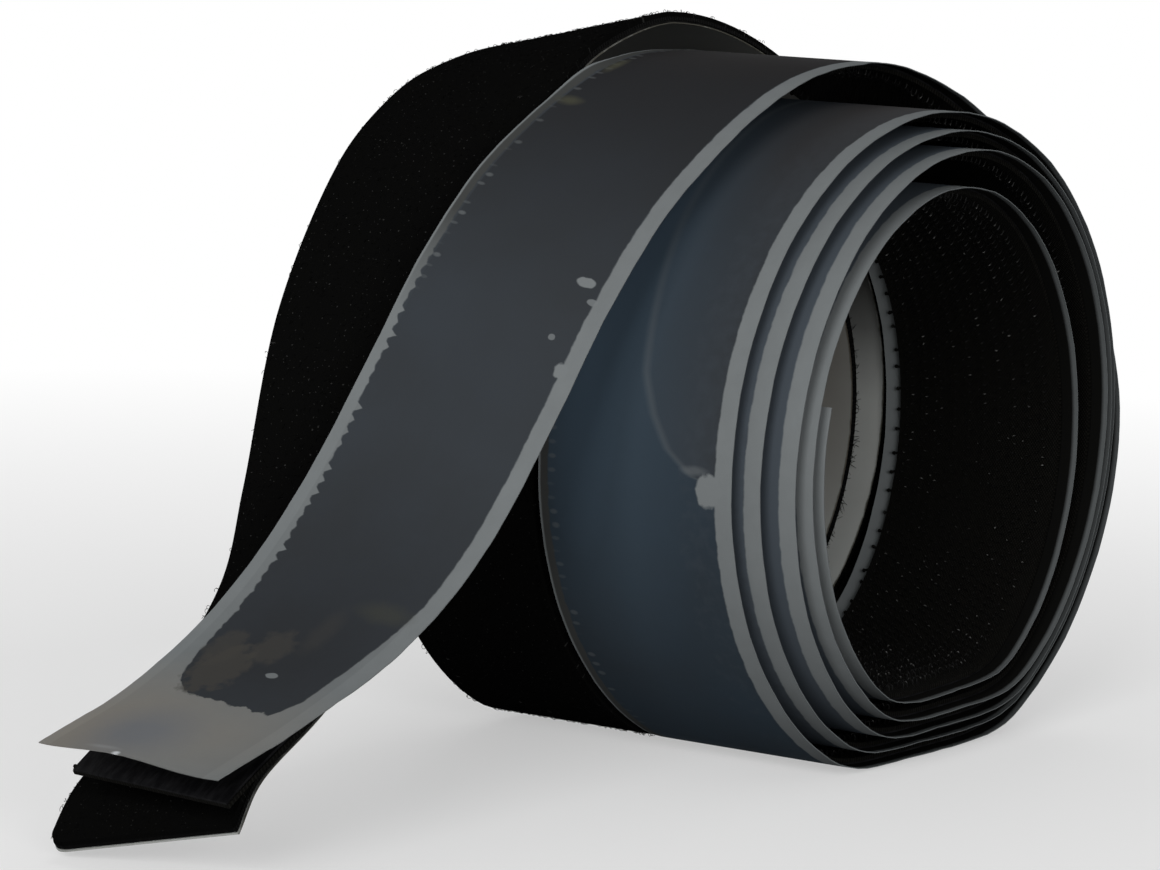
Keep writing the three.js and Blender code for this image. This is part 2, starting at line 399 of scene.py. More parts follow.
class MeshKit:
    """Makes Blender meshes from strips and fine tubes."""

    @staticmethod
    def make(name: str, places: Array, faces: list[Array], marks: dict[str, Array]) -> Piece:
        """Makes a smooth mesh object.

        Args:
            name: The piece's name.
            places: Vertex places in millimetres.
            faces: Arrays of faces, each with one count of corners.
            marks: A number for each vertex, by the attribute's name.

        Returns:
            The object, linked to the scene.
        """
        mesh = bpy.data.meshes.new(name)
        mesh.vertices.add(len(places))
        mesh.vertices.foreach_set("co", (places * MM).astype(np.float32).ravel())
        corners = np.concatenate([part.ravel() for part in faces])
        counts = np.concatenate([np.full(len(part), part.shape[1]) for part in faces])
        mesh.loops.add(len(corners))
        mesh.loops.foreach_set("vertex_index", corners.astype(np.int32))
        mesh.polygons.add(len(counts))
        mesh.polygons.foreach_set("loop_start", (np.cumsum(counts) - counts).astype(np.int32))
        mesh.update(calc_edges=True)
        for word, values in marks.items():
            mesh.attributes.new(word, "FLOAT", "POINT").data.foreach_set("value", values.astype(np.float32))
        mesh.shade_smooth()
        mesh.set_sharp_from_angle(angle=SHARP_ANGLE)
        piece = bpy.data.objects.new(name, mesh)
        bpy.context.scene.collection.objects.link(piece)
        return piece

    @staticmethod
    def strip(course: Course, depths: Span, columns: Array, rise: Array | None = None,
              corner: float = 0.0) -> Mesh:
        """A closed strip along a course.

        Args:
            course: The outer face's middle line.
            depths: The depths of the strip's outer and inner face under the course.
            columns: Places across the tape, from the far edge to the near one, alike or a row for each place.
            rise: How far each place of the grid stands out, one row for each place of the course.
            corner: The radius of the far corner at the free end.

        Returns:
            Places, faces and marks, as make takes them.
        """
        rows, width = len(course.along), columns.shape[-1]
        edges = np.broadcast_to(columns, (rows, width))
        if corner:
            inset = np.maximum(corner - (course.along - course.along[0]), 0)[:, None]
            edges = np.maximum(edges, columns.min() + corner - np.sqrt(corner**2 - inset**2))
        lifted = np.zeros_like(edges) if rise is None else rise
        normals, across = course.normals[:, None], course.across[:, None]
        middle = course.points[:, None] + across * edges[..., None] + normals * lifted[..., None]
        ring = np.concatenate([middle - normals * depths[0], (middle - normals * depths[1])[:, ::-1]], 1)
        index = np.arange(rows * 2 * width).reshape(rows, 2 * width)
        after = np.roll(index, -1, axis=1)
        sides = np.stack([index[:-1], after[:-1], after[1:], index[1:]], -1).reshape(-1, 4)
        top, under = index[:, :width], index[:, :width - 1:-1]
        first, last = (
            np.stack([top[row, :-1], top[row, 1:], under[row, 1:], under[row, :-1]], -1) for row in (0, -1)
        )
        marks = {
            "along_mm": np.repeat(course.along, 2 * width),
            "across_mm": np.concatenate([edges, edges[:, ::-1]], 1).ravel(),
        }
        return ring.reshape(-1, 3), [sides, first[:, ::-1], last], marks

    @staticmethod
    def tubes(paths: Array, flats: Array, radii: Array, sides: int, along: Array,
              edge: Array | float) -> Mesh:
        """Many fine closed tubes at once.

        Args:
            paths: For each tube, the places along its middle.
            flats: For each tube, the direction square to the plane that it bends in.
            radii: The tube's radius at each place along it.
            sides: How many sides the tubes have.
            along: Each tube's distance along the tape.
            edge: Each tube's place across the tape.

        Returns:
            Places, faces and marks, as make takes them.
        """
        count, rings = paths.shape[:2]
        ahead = unit(np.gradient(paths, axis=1))
        flat = np.broadcast_to(flats[:, None], ahead.shape)
        other = unit(np.cross(ahead, flat))
        turns = FULL_TURN * np.arange(sides) / sides
        ring = np.cos(turns)[:, None] * flat[:, :, None] + np.sin(turns)[:, None] * other[:, :, None]
        places = paths[:, :, None] + ring * radii[None, :, None, None]
        index = np.arange(count * rings * sides).reshape(count, rings, sides)
        after = np.roll(index, -1, axis=2)
        walls = np.stack([index[:, :-1], index[:, 1:], after[:, 1:], after[:, :-1]], -1).reshape(-1, 4)
        marks = {
            "along_mm": np.repeat(along, rings * sides),
            "across_mm": np.repeat(np.broadcast_to(edge, along.shape), rings * sides),
        }
        return places.reshape(-1, 3), [walls, index[:, 0], index[:, -1, ::-1]], marks

    @staticmethod
    def joined(*parts: Mesh) -> Mesh:
        """Joins meshes into one, with the marks that the first one has.

        Args:
            *parts: The meshes.

        Returns:
            Places, faces and marks, as make takes them.
        """
        places, faces, start = [], [], 0
        for some_places, some_faces, _ in parts:
            places.append(some_places)
            faces += [part + start for part in some_faces]
            start += len(some_places)
        marks = {word: np.concatenate([part[2][word] for part in parts]) for word in parts[0][2]}
        return np.concatenate(places), faces, marks


class Graph:
    """The nodes of a material or a world, added in the order that a finish describes them."""

    def __init__(self, tree: bpy.types.NodeTree) -> None:
        """Takes up a tree of nodes."""
        self.tree = tree
        self.marks: dict[str, Socket] = {}

    def fill(self, socket: Socket, value: object) -> None:
        """Links a socket to another, or sets its value.

        Args:
            socket: The socket to fill.
            value: A value, or the socket to link to.
        """
        if isinstance(value, Socket):
            self.tree.links.new(value, socket)
        else:
            socket.default_value = value

    def feed(self, node: bpy.types.Node, *values: object) -> bpy.types.Node:
        """Fills a node's sockets in their order.

        Args:
            node: The node.
            *values: What goes into each socket.

        Returns:
            The node.
        """
        for socket, value in zip(node.inputs, values):
            self.fill(socket, value)
        return node

    def add(self, kind: str, **inputs: object) -> bpy.types.Node:
        """Adds a node.

        Args:
            kind: The node's kind.
            **inputs: What goes into its sockets, by name.

        Returns:
            The node.
        """
        node = self.tree.nodes.new(f"ShaderNode{kind}")
        for word, value in inputs.items():
            self.fill(node.inputs[word], value)
        return node

    def shade(self, **inputs: object) -> Socket:
        """Fills the material's shader. A word's underscores stand for spaces.

        Args:
            **inputs: What goes into each socket.

        Returns:
            What the shader gives.
        """
        shader = self.tree.nodes["Principled BSDF"]
        for word, value in inputs.items():
            self.fill(shader.inputs[word.replace("_", " ")], value)
        return shader.outputs[0]

    def mark(self, name: str) -> Socket:
        """Reads a number that the mesh holds at each vertex.

        Args:
            name: The number's name.

        Returns:
            The number.
        """
        if name not in self.marks:
            node = self.add("Attribute")
            node.attribute_name = name
            self.marks[name] = node.outputs["Fac"]
        return self.marks[name]

    def maths(self, operation: str, *values: object) -> Socket:
        """Adds a sum.

        Args:
            operation: Blender's word for it.
            *values: One to three values.

        Returns:
            What the sum comes to.
        """
        node = self.add("Math")
        node.operation = operation
        return self.feed(node, *values).outputs[0]

    def times(self, first: object, second: object) -> Socket:
        """Multiplies two values."""
        return self.maths("MULTIPLY", first, second)

    def less(self, first: object, second: object) -> Socket:
        """Takes the second value from the first."""
        return self.maths("SUBTRACT", first, second)

    def shared(self, value: object, share: object, base: object) -> Socket:
        """Adds a share of a value to a base."""
        return self.maths("MULTIPLY_ADD", value, share, base)

    def vector(self, x: object, y: object) -> Socket:
        """Joins two numbers."""
        return self.feed(self.add("CombineXYZ"), x, y).outputs[0]

    def noise(self, place: Socket, scale: float, detail: float) -> Socket:
        """Adds cloudy noise between 0 and 1, with a scale in features for each unit of place."""
        return self.add("TexNoise", Vector=place, Scale=scale, Detail=detail).outputs["Fac"]

    def ramp(self, value: object, low: float, high: float, start: float = 0.0, end: float = 1.0) -> Socket:
        """Maps low to start and high to end, and stays there outside them."""
        return self.feed(self.add("MapRange"), value, low, high, start, end).outputs[0]

    def profile(self, value: object, rows: Rows) -> object:
        """Reads a line of straight stretches.

        Args:
            value: Where to read it.
            rows: The line's corners, each a place and a height.

        Returns:
            The line's height at the value.
        """
        height: object = rows[0][1]
        for (start, low), (end, high) in zip(rows, rows[1:]):
            height = self.maths("ADD", height, self.ramp(value, start, end, 0.0, high - low))
        return height

    def chance(self, number: object) -> Socket:
        """Adds a value by chance, the same for the same number.

        Args:
            number: The number.

        Returns:
            A value between 0 and 1.
        """
        node = self.add("TexWhiteNoise")
        node.noise_dimensions = "1D"
        self.fill(node.inputs["W"], number)
        return node.outputs["Value"]

    def mix(self, share: object, first: object, second: object) -> Socket:
        """Mixes two colours.

        Args:
            share: The share of the second colour.
            first: The first colour.
            second: The second colour.

        Returns:
            The mixed colour.
        """
        node = self.add("Mix")
        node.data_type = "RGBA"
        colours = [socket for socket in node.inputs if socket.type == "RGBA"]
        self.fill(node.inputs[0], share)
        for socket, value in zip(colours, (first, second)):
            self.fill(socket, value)
        return next(socket for socket in node.outputs if socket.type == "RGBA")

    def bump(self, height: Socket, distance: float, strength: float = 1.0) -> Socket:
        """Turns a height into a normal, with the distance in metres."""
        return self.add("Bump", Height=height, Distance=distance, Strength=strength).outputs[0]

    def tape_place(self) -> tuple[Socket, Socket, Socket]:
        """Reads the distance along the tape, the place across it, and both as one vector."""
        along, across = self.mark("along_mm"), self.mark("across_mm")
        return along, across, self.vector(along, across)

    def backdrop_rays(self) -> Socket:
        """Tells the rays that show the backdrop from those that light the part.

        Returns:
            1 for the camera's rays and those off gloss and through film, 0 for others.
        """
        path = self.add("LightPath").outputs
        shown = self.maths("MAXIMUM", path["Is Camera Ray"], path["Is Glossy Ray"])
        return self.maths("MAXIMUM", shown, path["Is Transmission Ray"])


@dataclass(frozen=True)
class Finish:
    """A finish, which paints the nodes of one material.

    Attributes:
        name: The material's name.
    """

    name: str

    def paint(self, graph: Graph) -> None:
        """Adds the finish's nodes."""
        raise NotImplementedError

    def material(self) -> bpy.types.Material:
        """Makes the material.

        Returns:
            The material with the finish's nodes.
        """
        material = bpy.data.materials.new(self.name)
        material.use_nodes = True
        self.paint(Graph(material.node_tree))
        return material


@dataclass(frozen=True)
class Tint:
    """A round cloud of another colour on a film, in millimetres along and across the tape.

    Attributes:
        along: The distance of its middle from the tape's free end.
        across: The place of its middle across the tape.
        length: Half its length along the tape.
        width: Half its width across the tape.
        colour: Its colour.
        soft: How softly its rim fades, as a share of its size.
        share: How much of the film's own colour it hides.
        rough: How uneven its rim is.
    """

    along: float
    across: float
    length: float
    width: float
    colour: Colour
    soft: float = 0.1
    share: float = 1.0
    rough: float = 1.0

    def over(self, graph: Graph, wobble: Socket, colour: Socket) -> Socket:
        """Lays the cloud over a colour, with its rim made uneven by the wobble.

        Args:
            graph: The film's nodes.
            wobble: The unevenness.
            colour: The colour under the cloud.

        Returns:
            The colour with the cloud.
        """
        x = graph.maths("DIVIDE", graph.less(graph.mark("along_mm"), self.along), self.length)
        y = graph.maths("DIVIDE", graph.less(graph.mark("across_mm"), self.across), self.width)
        apart = graph.maths("SQRT", graph.shared(x, x, graph.times(y, y)))
        apart = graph.shared(wobble, self.rough * (1 - self.soft), apart)
        cover = graph.ramp(apart, 1 + self.soft, 1 - self.soft, 0.0, self.share)
        return graph.mix(cover, colour, self.colour)


@dataclass(frozen=True)
class FilmFinish(Finish):
    """A liner of thin film: dark where it lies wet on the adhesive, pale and milky where it lies free.

    Attributes:
        wet: The colour over the adhesive.
        cool: The colour where the film stands a hair off the adhesive, with a painted bluish reflection in
            it.
        free: The colour of free film.
        bare: The colour of a free margin with the dark tape close behind it.
        near_rows: Where the near margin starts across the tape, by the distance along it.
        far_rows: The same for the far margin.
        front_rows: Where the film comes off along the tape, by the place across it.
        lifted_rows: Up to where across the tape the film stands off, by the distance along it.
        bare_rows: How much the far margin shows the tape behind it, by the distance along it.
        tooth_rows: How deep the selvage's threads mark the far margin, by the distance along the tape.
        dot_rows: How strongly the threads show as a row of dots, by the distance along the tape.
        tints: Blisters, patches and stains.
        free_tones_and_glare: Clouds on the free film alone: warm tones, a painted glare and painted glints.
        painted_light_and_shade: Clouds of painted light and painted shade on the wet film alone.
        shade: The colour of the painted shade, where the film lies in shade.
        shade_rows: How much painted shade the film has, by the distance along the tape.
        shade_edge: Up to where across the tape the painted shade reaches.
        painted_margin_shadow: The colour of a painted shadow on the near margin's inner face, apart from its
            edge.
        margin_shadow_edge: Where across the tape that painted shadow goes over into the face's pale edge.
        tooth_pitch: The pitch of the selvage's threads.
        tooth_share: Half the length of a thread's mark, as a share of the pitch.
        near_wobble: How uneven the near margin's start is.
        far_wobble: The same for the far margin.
        front_wobble: The same for the front.
        wet_edge: The fade from free film to wet.
        off_edge: The fade from wet film to film that stands off.
        rim_share: How much a pale line shows where the film comes to stand off.
        rim_edge: How far from there the line ends, and how far it is whole.
        gloss: The roughness where the film is wet.
        dry_rise: How much rougher it is where it is free.
    """

    wet: Colour
    cool: Colour
    free: Colour
    bare: Colour
    near_rows: Rows
    far_rows: Rows
    front_rows: Rows = ((0.0, -1.0),)
    lifted_rows: Rows = ((0.0, -99.0),)
    bare_rows: Rows = ((0.0, 0.0),)
    tooth_rows: Rows = ((0.0, 0.3),)
    dot_rows: Rows = ((0.0, 0.0),)
    tints: tuple[Tint, ...] = ()
    free_tones_and_glare: tuple[Tint, ...] = ()
    painted_light_and_shade: tuple[Tint, ...] = ()
    shade: Colour = (0.012, 0.011, 0.01, 1)
    shade_rows: Rows = ((0.0, 0.0),)
    shade_edge: float = 12.4
    painted_margin_shadow: Colour = (0.004, 0.004, 0.0037, 1)
    margin_shadow_edge: Span = (13.9, 14.4)
    tooth_pitch: float = 1.75
    tooth_share: float = 0.36
    near_wobble: float = 0.5
    far_wobble: float = 0.7
    front_wobble: float = 2.4
    wet_edge: Span = (-0.1, 0.14)
    off_edge: Span = (-0.3, 0.5)
    rim_share: float = 0.16
    rim_edge: Span = (0.9, 0.1)
    gloss: float = 0.8
    dry_rise: float = 0.12

    def _dots(self, graph: Graph, tooth: Socket, chance: Socket) -> Socket:
        """Draws a row of uneven dots, one for each thread of the far selvage.

        Args:
            graph: The film's nodes.
            tooth: The distance from the nearest thread along the tape.
            chance: A number by chance for each thread.

        Returns:
            How much the dots show.
        """
        beside = graph.shared(chance, -0.7, graph.maths("ADD", graph.mark("across_mm"), 12.4))
        beside = graph.maths("DIVIDE", beside, 0.6)
        ahead = graph.maths("DIVIDE", tooth, graph.ramp(chance, 0.2, 1.0, 0.18, 0.4))
        apart = graph.shared(ahead, ahead, graph.times(beside, beside))
        shown = graph.times(graph.ramp(apart, 1.3, 0.3), graph.ramp(chance, 0.15, 0.7))
        return graph.times(shown, graph.profile(graph.mark("along_mm"), self.dot_rows))

    def _wetness(self, graph: Graph, wobble: Socket, tooth: Socket, chance: Socket) -> Socket:
        """Finds where the film lies wet on the adhesive, between its margins and behind its front.

        Args:
            graph: The film's nodes.
            wobble: The unevenness of the margins.
            tooth: The distance from the nearest thread along the tape.
            chance: A number by chance for each thread.

        Returns:
            1 where the film is wet and 0 where it is free.
        """
        along, across = graph.mark("along_mm"), graph.mark("across_mm")
        spike = graph.times(graph.ramp(tooth, self.tooth_share * self.tooth_pitch, 0.0), chance)
        spike = graph.times(spike, graph.profile(along, self.tooth_rows))
        far = graph.less(across, graph.profile(along, self.far_rows))
        far = graph.less(graph.shared(wobble, self.far_wobble, far), spike)
        near = graph.less(graph.profile(along, self.near_rows), across)
        near = graph.shared(wobble, self.near_wobble, near)
        front = graph.less(along, graph.profile(across, self.front_rows))
        front = graph.shared(wobble, self.front_wobble, front)
        inside = graph.maths("MINIMUM", graph.maths("MINIMUM", near, far), front)
        return graph.ramp(inside, *self.wet_edge)

    def _under(self, graph: Graph, place: Socket, wobble: Socket, off: Socket) -> Socket:
        """Colours the film over the adhesive, with its clouds of painted light and painted shade.

        Args:
            graph: The film's nodes.
            place: The place along and across the tape.
            wobble: The unevenness of the clouds' rims.
            off: How far inside the stretch that stands off a place is.

        Returns:
            The colour.
        """
        clouds = graph.ramp(graph.noise(place, 0.06, 4), 0.3, 0.72)
        colour = graph.mix(graph.ramp(off, *self.off_edge), self.wet, self.cool)
        colour = graph.mix(graph.times(clouds, 0.3), colour, self.bare)
        # Painted light and painted shade, laid over the wet film's colour.
        for glow in self.painted_light_and_shade:
            colour = glow.over(graph, wobble, colour)
        return colour

    def _milk(self, graph: Graph, place: Socket, wobble: Socket) -> Socket:
        """Colours the free film, with its clouds of tone and of painted glare and glints.

        Args:
            graph: The film's nodes.
            place: The place along and across the tape.
            wobble: The unevenness of the clouds' rims.

        Returns:
            The colour.
        """
        across = graph.mark("across_mm")
        behind = graph.profile(graph.mark("along_mm"), self.bare_rows)
        behind = graph.times(behind, graph.ramp(across, -10.0, -11.0))
        behind = graph.times(behind, graph.ramp(across, -13.8, -13.6))
        colour = graph.mix(behind, self.free, self.bare)
        clouds = graph.ramp(graph.noise(place, 0.35, 4), 0.3, 0.8, 0.0, 0.08)
        colour = graph.mix(clouds, colour, self.bare)
        # Clouds of tone, and a painted glare and painted glints, on the free film.
        for free_tint in self.free_tones_and_glare:
            colour = free_tint.over(graph, wobble, colour)
        return colour

    def paint(self, graph: Graph) -> None:
        """Adds the film's nodes, from the adhesive's side to the marks on top.

        Args:
            graph: The material's nodes.
        """
        along, across, place = graph.tape_place()
        wobble = graph.less(graph.noise(place, 0.6, 3), 0.5)
        tooth = graph.maths("PINGPONG", along, self.tooth_pitch / 2)
        chance = graph.chance(graph.maths("ROUND", graph.maths("DIVIDE", along, self.tooth_pitch)))
        wet = self._wetness(graph, wobble, tooth, chance)
        off = graph.less(graph.profile(along, self.lifted_rows), across)
        colour = graph.mix(wet, self._milk(graph, place, wobble), self._under(graph, place, wobble, off))
        # Painted shade for film that lies in shade, by the distance along the tape.
        inner = graph.ramp(graph.maths("ABSOLUTE", across), self.shade_edge, self.shade_edge - 0.2)
        painted_shade_share = graph.times(graph.profile(along, self.shade_rows), inner)
        colour = graph.mix(painted_shade_share, colour, self.shade)
        colour = graph.mix(self._dots(graph, tooth, chance), colour, self.free)
        for tint in self.tints:
            colour = tint.over(graph, wobble, colour)
        rim = graph.ramp(graph.maths("ABSOLUTE", off), *self.rim_edge, 0.0, self.rim_share)
        colour = graph.mix(graph.times(rim, wet), colour, self.free)
        # A painted shadow on the near margin's inner face, beside the weave.
        painted_margin_shadow = graph.times(graph.ramp(across, *self.margin_shadow_edge, 1.0, 0.5), graph.ramp(across, 0.0, 12.0))
        colour = graph.mix(graph.times(painted_margin_shadow, graph.mark("inner_face")), colour, self.painted_margin_shadow)
        fine = graph.shared(graph.noise(place, 2.5, 2), 0.2, graph.noise(place, 0.8, 3))
        uneven = graph.shared(wobble, 0.4, wet)
        graph.shade(
            Base_Color=colour,
            Roughness=graph.ramp(uneven, 0, 1, self.gloss + self.dry_rise, self.gloss),
            Specular_IOR_Level=0.01,
            Normal=graph.bump(fine, 0.00004, 0.5),
        )


@dataclass(frozen=True)
class ClothFinish(Finish):
    """Black woven nylon: fine ribs across the tape, with the threads crossing them.

    Attributes:
        colour: The nylon's colour.
        worn: The colour on top of the ribs.
        rib_pitch: The pitch of the ribs.
        thread_pitch: The pitch of the threads.
    """

    colour: Colour
    worn: Colour
    rib_pitch: float = 0.55
    thread_pitch: float = 0.42

    def paint(self, graph: Graph) -> None:
        """Adds the weave's nodes.

        Args:
            graph: The material's nodes.
        """
        along, across, place = graph.tape_place()
        ribs = graph.maths("SINE", graph.times(along, FULL_TURN / self.rib_pitch))
        threads = graph.maths("SINE", graph.times(across, FULL_TURN / self.thread_pitch))
        height = graph.shared(graph.times(ribs, threads), 0.5, graph.noise(place, 1.4, 3))
        graph.shade(
            Base_Color=graph.mix(graph.ramp(height, 0.5, 1.1), self.colour, self.worn),
            Roughness=graph.ramp(height, 0, 1, 0.9, 0.75),
            Specular_IOR_Level=0.02,
            Normal=graph.bump(height, 0.00015),
        )


@dataclass(frozen=True)
class PileFinish(Finish):
    """Brushed black loops: soft, with a faint sheen and stray pale dust.

    Attributes:
        colour: The loops' colour.
        dust: The dust's colour.
    """

    colour: Colour
    dust: Colour

    def paint(self, graph: Graph) -> None:
        """Adds the pile's nodes.

        Args:
            graph: The material's nodes.
        """
        _, _, place = graph.tape_place()
        curls = graph.noise(place, 4.0, 4)
        specks = graph.ramp(graph.noise(place, 2.4, 1), 0.7, 0.76)
        height = graph.shared(graph.noise(place, 0.8, 3), 0.5, curls)
        graph.shade(
            Base_Color=graph.mix(specks, self.colour, self.dust),
            Roughness=graph.ramp(curls, 0.3, 0.7, 1.0, 0.9),
            Specular_IOR_Level=0.0,
            Sheen_Weight=0.0015,
            Sheen_Roughness=0.5,
            Normal=graph.bump(height, 0.00015),
        )


@dataclass(frozen=True)
class FilamentFinish(Finish):
    """Smooth black nylon filament, with painted glints on its tips, bright on a few of them.

    Attributes:
        colour: The nylon's colour.
        tip: The colour of a bright painted glint on a tip.
        faint_glint_share: How much of that painted glint colour the other tips have.
    """

    colour: Colour
    tip: Colour
    faint_glint_share: float = 0.035

    def paint(self, graph: Graph) -> None:
        """Adds the filament's nodes.

        Args:
            graph: The material's nodes.
        """
        _, _, place = graph.tape_place()
        # Painted glints on the hooks' tips: faint on all of them, bright on a few.
        some = graph.ramp(graph.noise(place, 1.9, 0), 0.6, 0.78, self.faint_glint_share, 1.0)
        graph.shade(
            Base_Color=graph.mix(graph.times(some, graph.mark("tip")), self.colour, self.tip),
            Roughness=graph.ramp(graph.noise(place, 0.9, 2), 0.3, 0.7, 0.35, 0.55),
            Specular_IOR_Level=0.06,
        )


@dataclass(frozen=True)
class GlueFinish(Finish):
    """Pressure-sensitive adhesive: a smooth dark coat with pulled ridges.

    Attributes:
        colour: The coat's colour.
        pulled: The colour of its ridges.
        drawn_out: How fast the ridges change along the tape, as a share of how fast they do across it.
    """

    colour: Colour
    pulled: Colour
    drawn_out: float = 0.3

    def paint(self, graph: Graph) -> None:
        """Adds the adhesive's nodes.

        Args:
            graph: The material's nodes.
        """
        along, across, place = graph.tape_place()
        ridges = graph.noise(graph.vector(graph.times(along, self.drawn_out), across), 1.2, 4)
        graph.shade(
            Base_Color=graph.mix(graph.ramp(ridges, 0.4, 0.75), self.colour, self.pulled),
            Roughness=graph.ramp(graph.noise(place, 0.5, 3), 0.3, 0.7, 0.5, 0.7),
            Specular_IOR_Level=0.02,
            Normal=graph.bump(ridges, 0.0002, 0.7),
        )


@dataclass(frozen=True)
class FloorFinish(Finish):
    """A pale floor that keeps the part's shadow and fades into the backdrop.

    Attributes:
        pale: The colour to look at.
        bounce: The colour that lights the part.
        fade: Where the fade starts and ends, in metres from the part.
        glow: How far the floor has faded under the part.
    """

    pale: Colour = (0.86, 0.86, 0.86, 1)
    bounce: Colour = (0.3, 0.3, 0.3, 1)
    fade: Span = (0.1, 0.4)
    glow: float = 0.45

    def paint(self, graph: Graph) -> None:
        """Adds the floor's nodes.

        Args:
            graph: The material's nodes.
        """
        shown = graph.backdrop_rays()
        colour = graph.mix(shown, self.bounce, self.pale)
        matt = graph.shade(Base_Color=colour, Roughness=0.9, Specular_IOR_Level=0.1)
        apart = graph.add("VectorMath")
        apart.operation = "LENGTH"
        graph.feed(apart, graph.add("TexCoord").outputs["Object"])
        far = graph.ramp(apart.outputs["Value"], *self.fade, self.glow, 1.0)
        white = graph.add("Emission").outputs[0]
        blend = graph.feed(graph.add("MixShader"), graph.times(far, shown), matt, white)
        graph.fill(graph.tree.nodes["Material Output"].inputs["Surface"], blend.outputs[0])


@dataclass
class Tape:
    """What both tapes share: their width, their layers' places and how their pieces ride.

    Attributes:
        word: The tape's word in the names of nodes, bodies and joints.
        winding: The coil.
        route: The tail.
        flap: The length of the liner's free end.
        liner_slot: The record's material slot of the liner. Not used.
        finishes: A material for each layer.
        width: The tape's width.
        selvage: The width of the edge that has no hooks.
        glue_inset: How far the adhesive stays from the tape's edges.
        seam_behind: How far behind the top of the coil its pieces meet the tail's.
        bend: The length over which the tail would bend as it is lifted. ride reads it but bends nothing.
        peel_bend: The length over which the liner would bend as it is peeled. ride reads it but bends
            nothing.
        coil_step: The step of the coil's meshes.
        tail_step: The step of the tail's meshes.
        end_reach: The length at the tape's free end that has a finer step.
        end_step: That step.
        course: The tape's course.
        tail_length: The distance from the free end to the top of the coil.
    """

    word: str
    winding: Winding
    route: TailRoute
    flap: float
    liner_slot: str
    finishes: dict[Layer, bpy.types.Material] = field(default_factory=dict)
    width: float = 25.0
    selvage: float = 1.0
    glue_inset: float = 0.2
    seam_behind: float = 12.0
    bend: float = 24.0
    peel_bend: float = 10.0
    coil_step: float = 2.2
    tail_step: float = 1.0
    end_reach: float = 2.5
    end_step: float = 0.2
    course: Course = field(init=False)
    tail_length: float = field(init=False)

    def __post_init__(self) -> None:
        """Draws the tape's course, with a place at each degree of the coil."""
        tail, tail_across = self.route.course(self.winding)
        counts = np.linspace(0, self.winding.turns, round(self.winding.turns * 360) + 1)[1:]
        across = np.vstack([tail_across, self.winding.across(counts)])
        self.course = Course.through(np.vstack([tail, self.winding.points(counts)]), across)
        self.tail_length = float(self.course.along[len(tail) - 1])

    @property
    def half(self) -> float:
        """Half the tape's width."""
        return self.width / 2

    @property
    def seam(self) -> float:
        """Where the tail's pieces meet the coil's, a little behind the top."""
        return self.tail_length + self.seam_behind

    @property
    def end(self) -> float:
        """The whole length of the tape."""
        return float(self.course.along[-1])

    def steps(self, stretch: Stretch, start: float = 0.0) -> Array:
        """Distances along a stretch of the tape, close together near its free end.

        Args:
            stretch: The stretch.
            start: Where a layer of the tail starts.

        Returns:
            The distances from the stretch's start to its end.
        """
        first, stop, step = {
            Stretch.COIL: (self.seam, self.end, self.coil_step),
            Stretch.TAIL: (start, self.seam, self.tail_step),
            Stretch.FLAP: (0.0, self.flap, self.tail_step),
        }[stretch]
        ahead = np.arange(first, self.end_reach, self.end_step)
        begin = max(first, self.end_reach)
        return np.concatenate([ahead, np.linspace(begin, stop, max(2, round((stop - begin) / step) + 1))])

    def label(self, stretch: Stretch, thing: str) -> str:
        """The name of a stretch of something on the tape."""
        words = (thing, stretch.value) if stretch is Stretch.FLAP else (stretch.value, thing)
        return "_".join((self.word, *words))

    def dress(self, stretch: Stretch, layer: Layer, thing: str, mesh: Mesh) -> Piece:
        """Makes a piece, dresses it, hides the part's node of the same stretch and layer, and hands it to
        ride.

        Args:
            stretch: The stretch of the tape.
            layer: The layer, which gives the node and the material.
            thing: What the piece is called after its stretch.
            mesh: Places, faces and marks.

        Returns:
            The piece.
        """
        piece = MeshKit.make(self.label(stretch, thing), *mesh)
        piece.data.materials.append(self.finishes[layer])
        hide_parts(self.label(stretch, layer.value))
        self.ride(piece, stretch)
        LOG.info("%s: %d faces", piece.name, len(piece.data.polygons))
        return piece

    def ride(self, piece: Piece, stretch: Stretch) -> None:
        """Lets a piece of the coil move with the coil. A piece of the tail or the flap only has its place
        baked into its mesh.

        Args:
            piece: The piece.
            stretch: The stretch of the tape that it is.
        """
        coil, tail, flap = (f"{self.word}_{body}" for body in ("coil", "tail", "liner_flap"))
        if stretch is Stretch.COIL:
            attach(piece, coil)
        elif stretch is Stretch.TAIL:
            lifting = np.array([self.tail_length, self.tail_length - self.bend])
            start, end = self.course.at(lifting).points * MM
            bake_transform(piece)
        else:
            peeling = np.array([self.flap, self.flap - self.peel_bend])
            start, end = self.course.at(peeling).points * MM
            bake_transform(piece)

    def cut(self, piece: Piece, stretch: Stretch, along: Array) -> None:
        """Does nothing: the flat size that a stretch of woven tape was cut to is not recorded."""

    def skin(self, stretch: Stretch, layer: Layer, strip: Mesh) -> Piece:
        """Dresses a plain strip of a layer."""
        return self.dress(stretch, layer, f"{layer.value}_skin", strip)

    def film(self, along: Array) -> Mesh:
        """Makes a stretch of film."""
        raise NotImplementedError

    def build_films(self) -> None:
        """Makes the liner on the coil, on the tail and at its free end."""
        for stretch in Stretch:
            self.dress(stretch, Layer.LINER, "film", self.film(self.steps(stretch, self.flap)))

    def build_glue(self, course: Course, depths: Span, start: float, corner: float = 0.0) -> None:
        """Makes the adhesive of the coil and of the tail.

        Args:
            course: The course that it follows.
            depths: Its depths under the course.
            start: Where it begins along the tail.
            corner: The radius of its far corner there.
        """
        columns = np.linspace(self.glue_inset - self.half, self.half - self.glue_inset, 9)
        for stretch, round_end in ((Stretch.COIL, 0.0), (Stretch.TAIL, corner)):
            path = course.at(self.steps(stretch, start))
            self.skin(stretch, Layer.ADHESIVE, MeshKit.strip(path, depths, columns, corner=round_end))


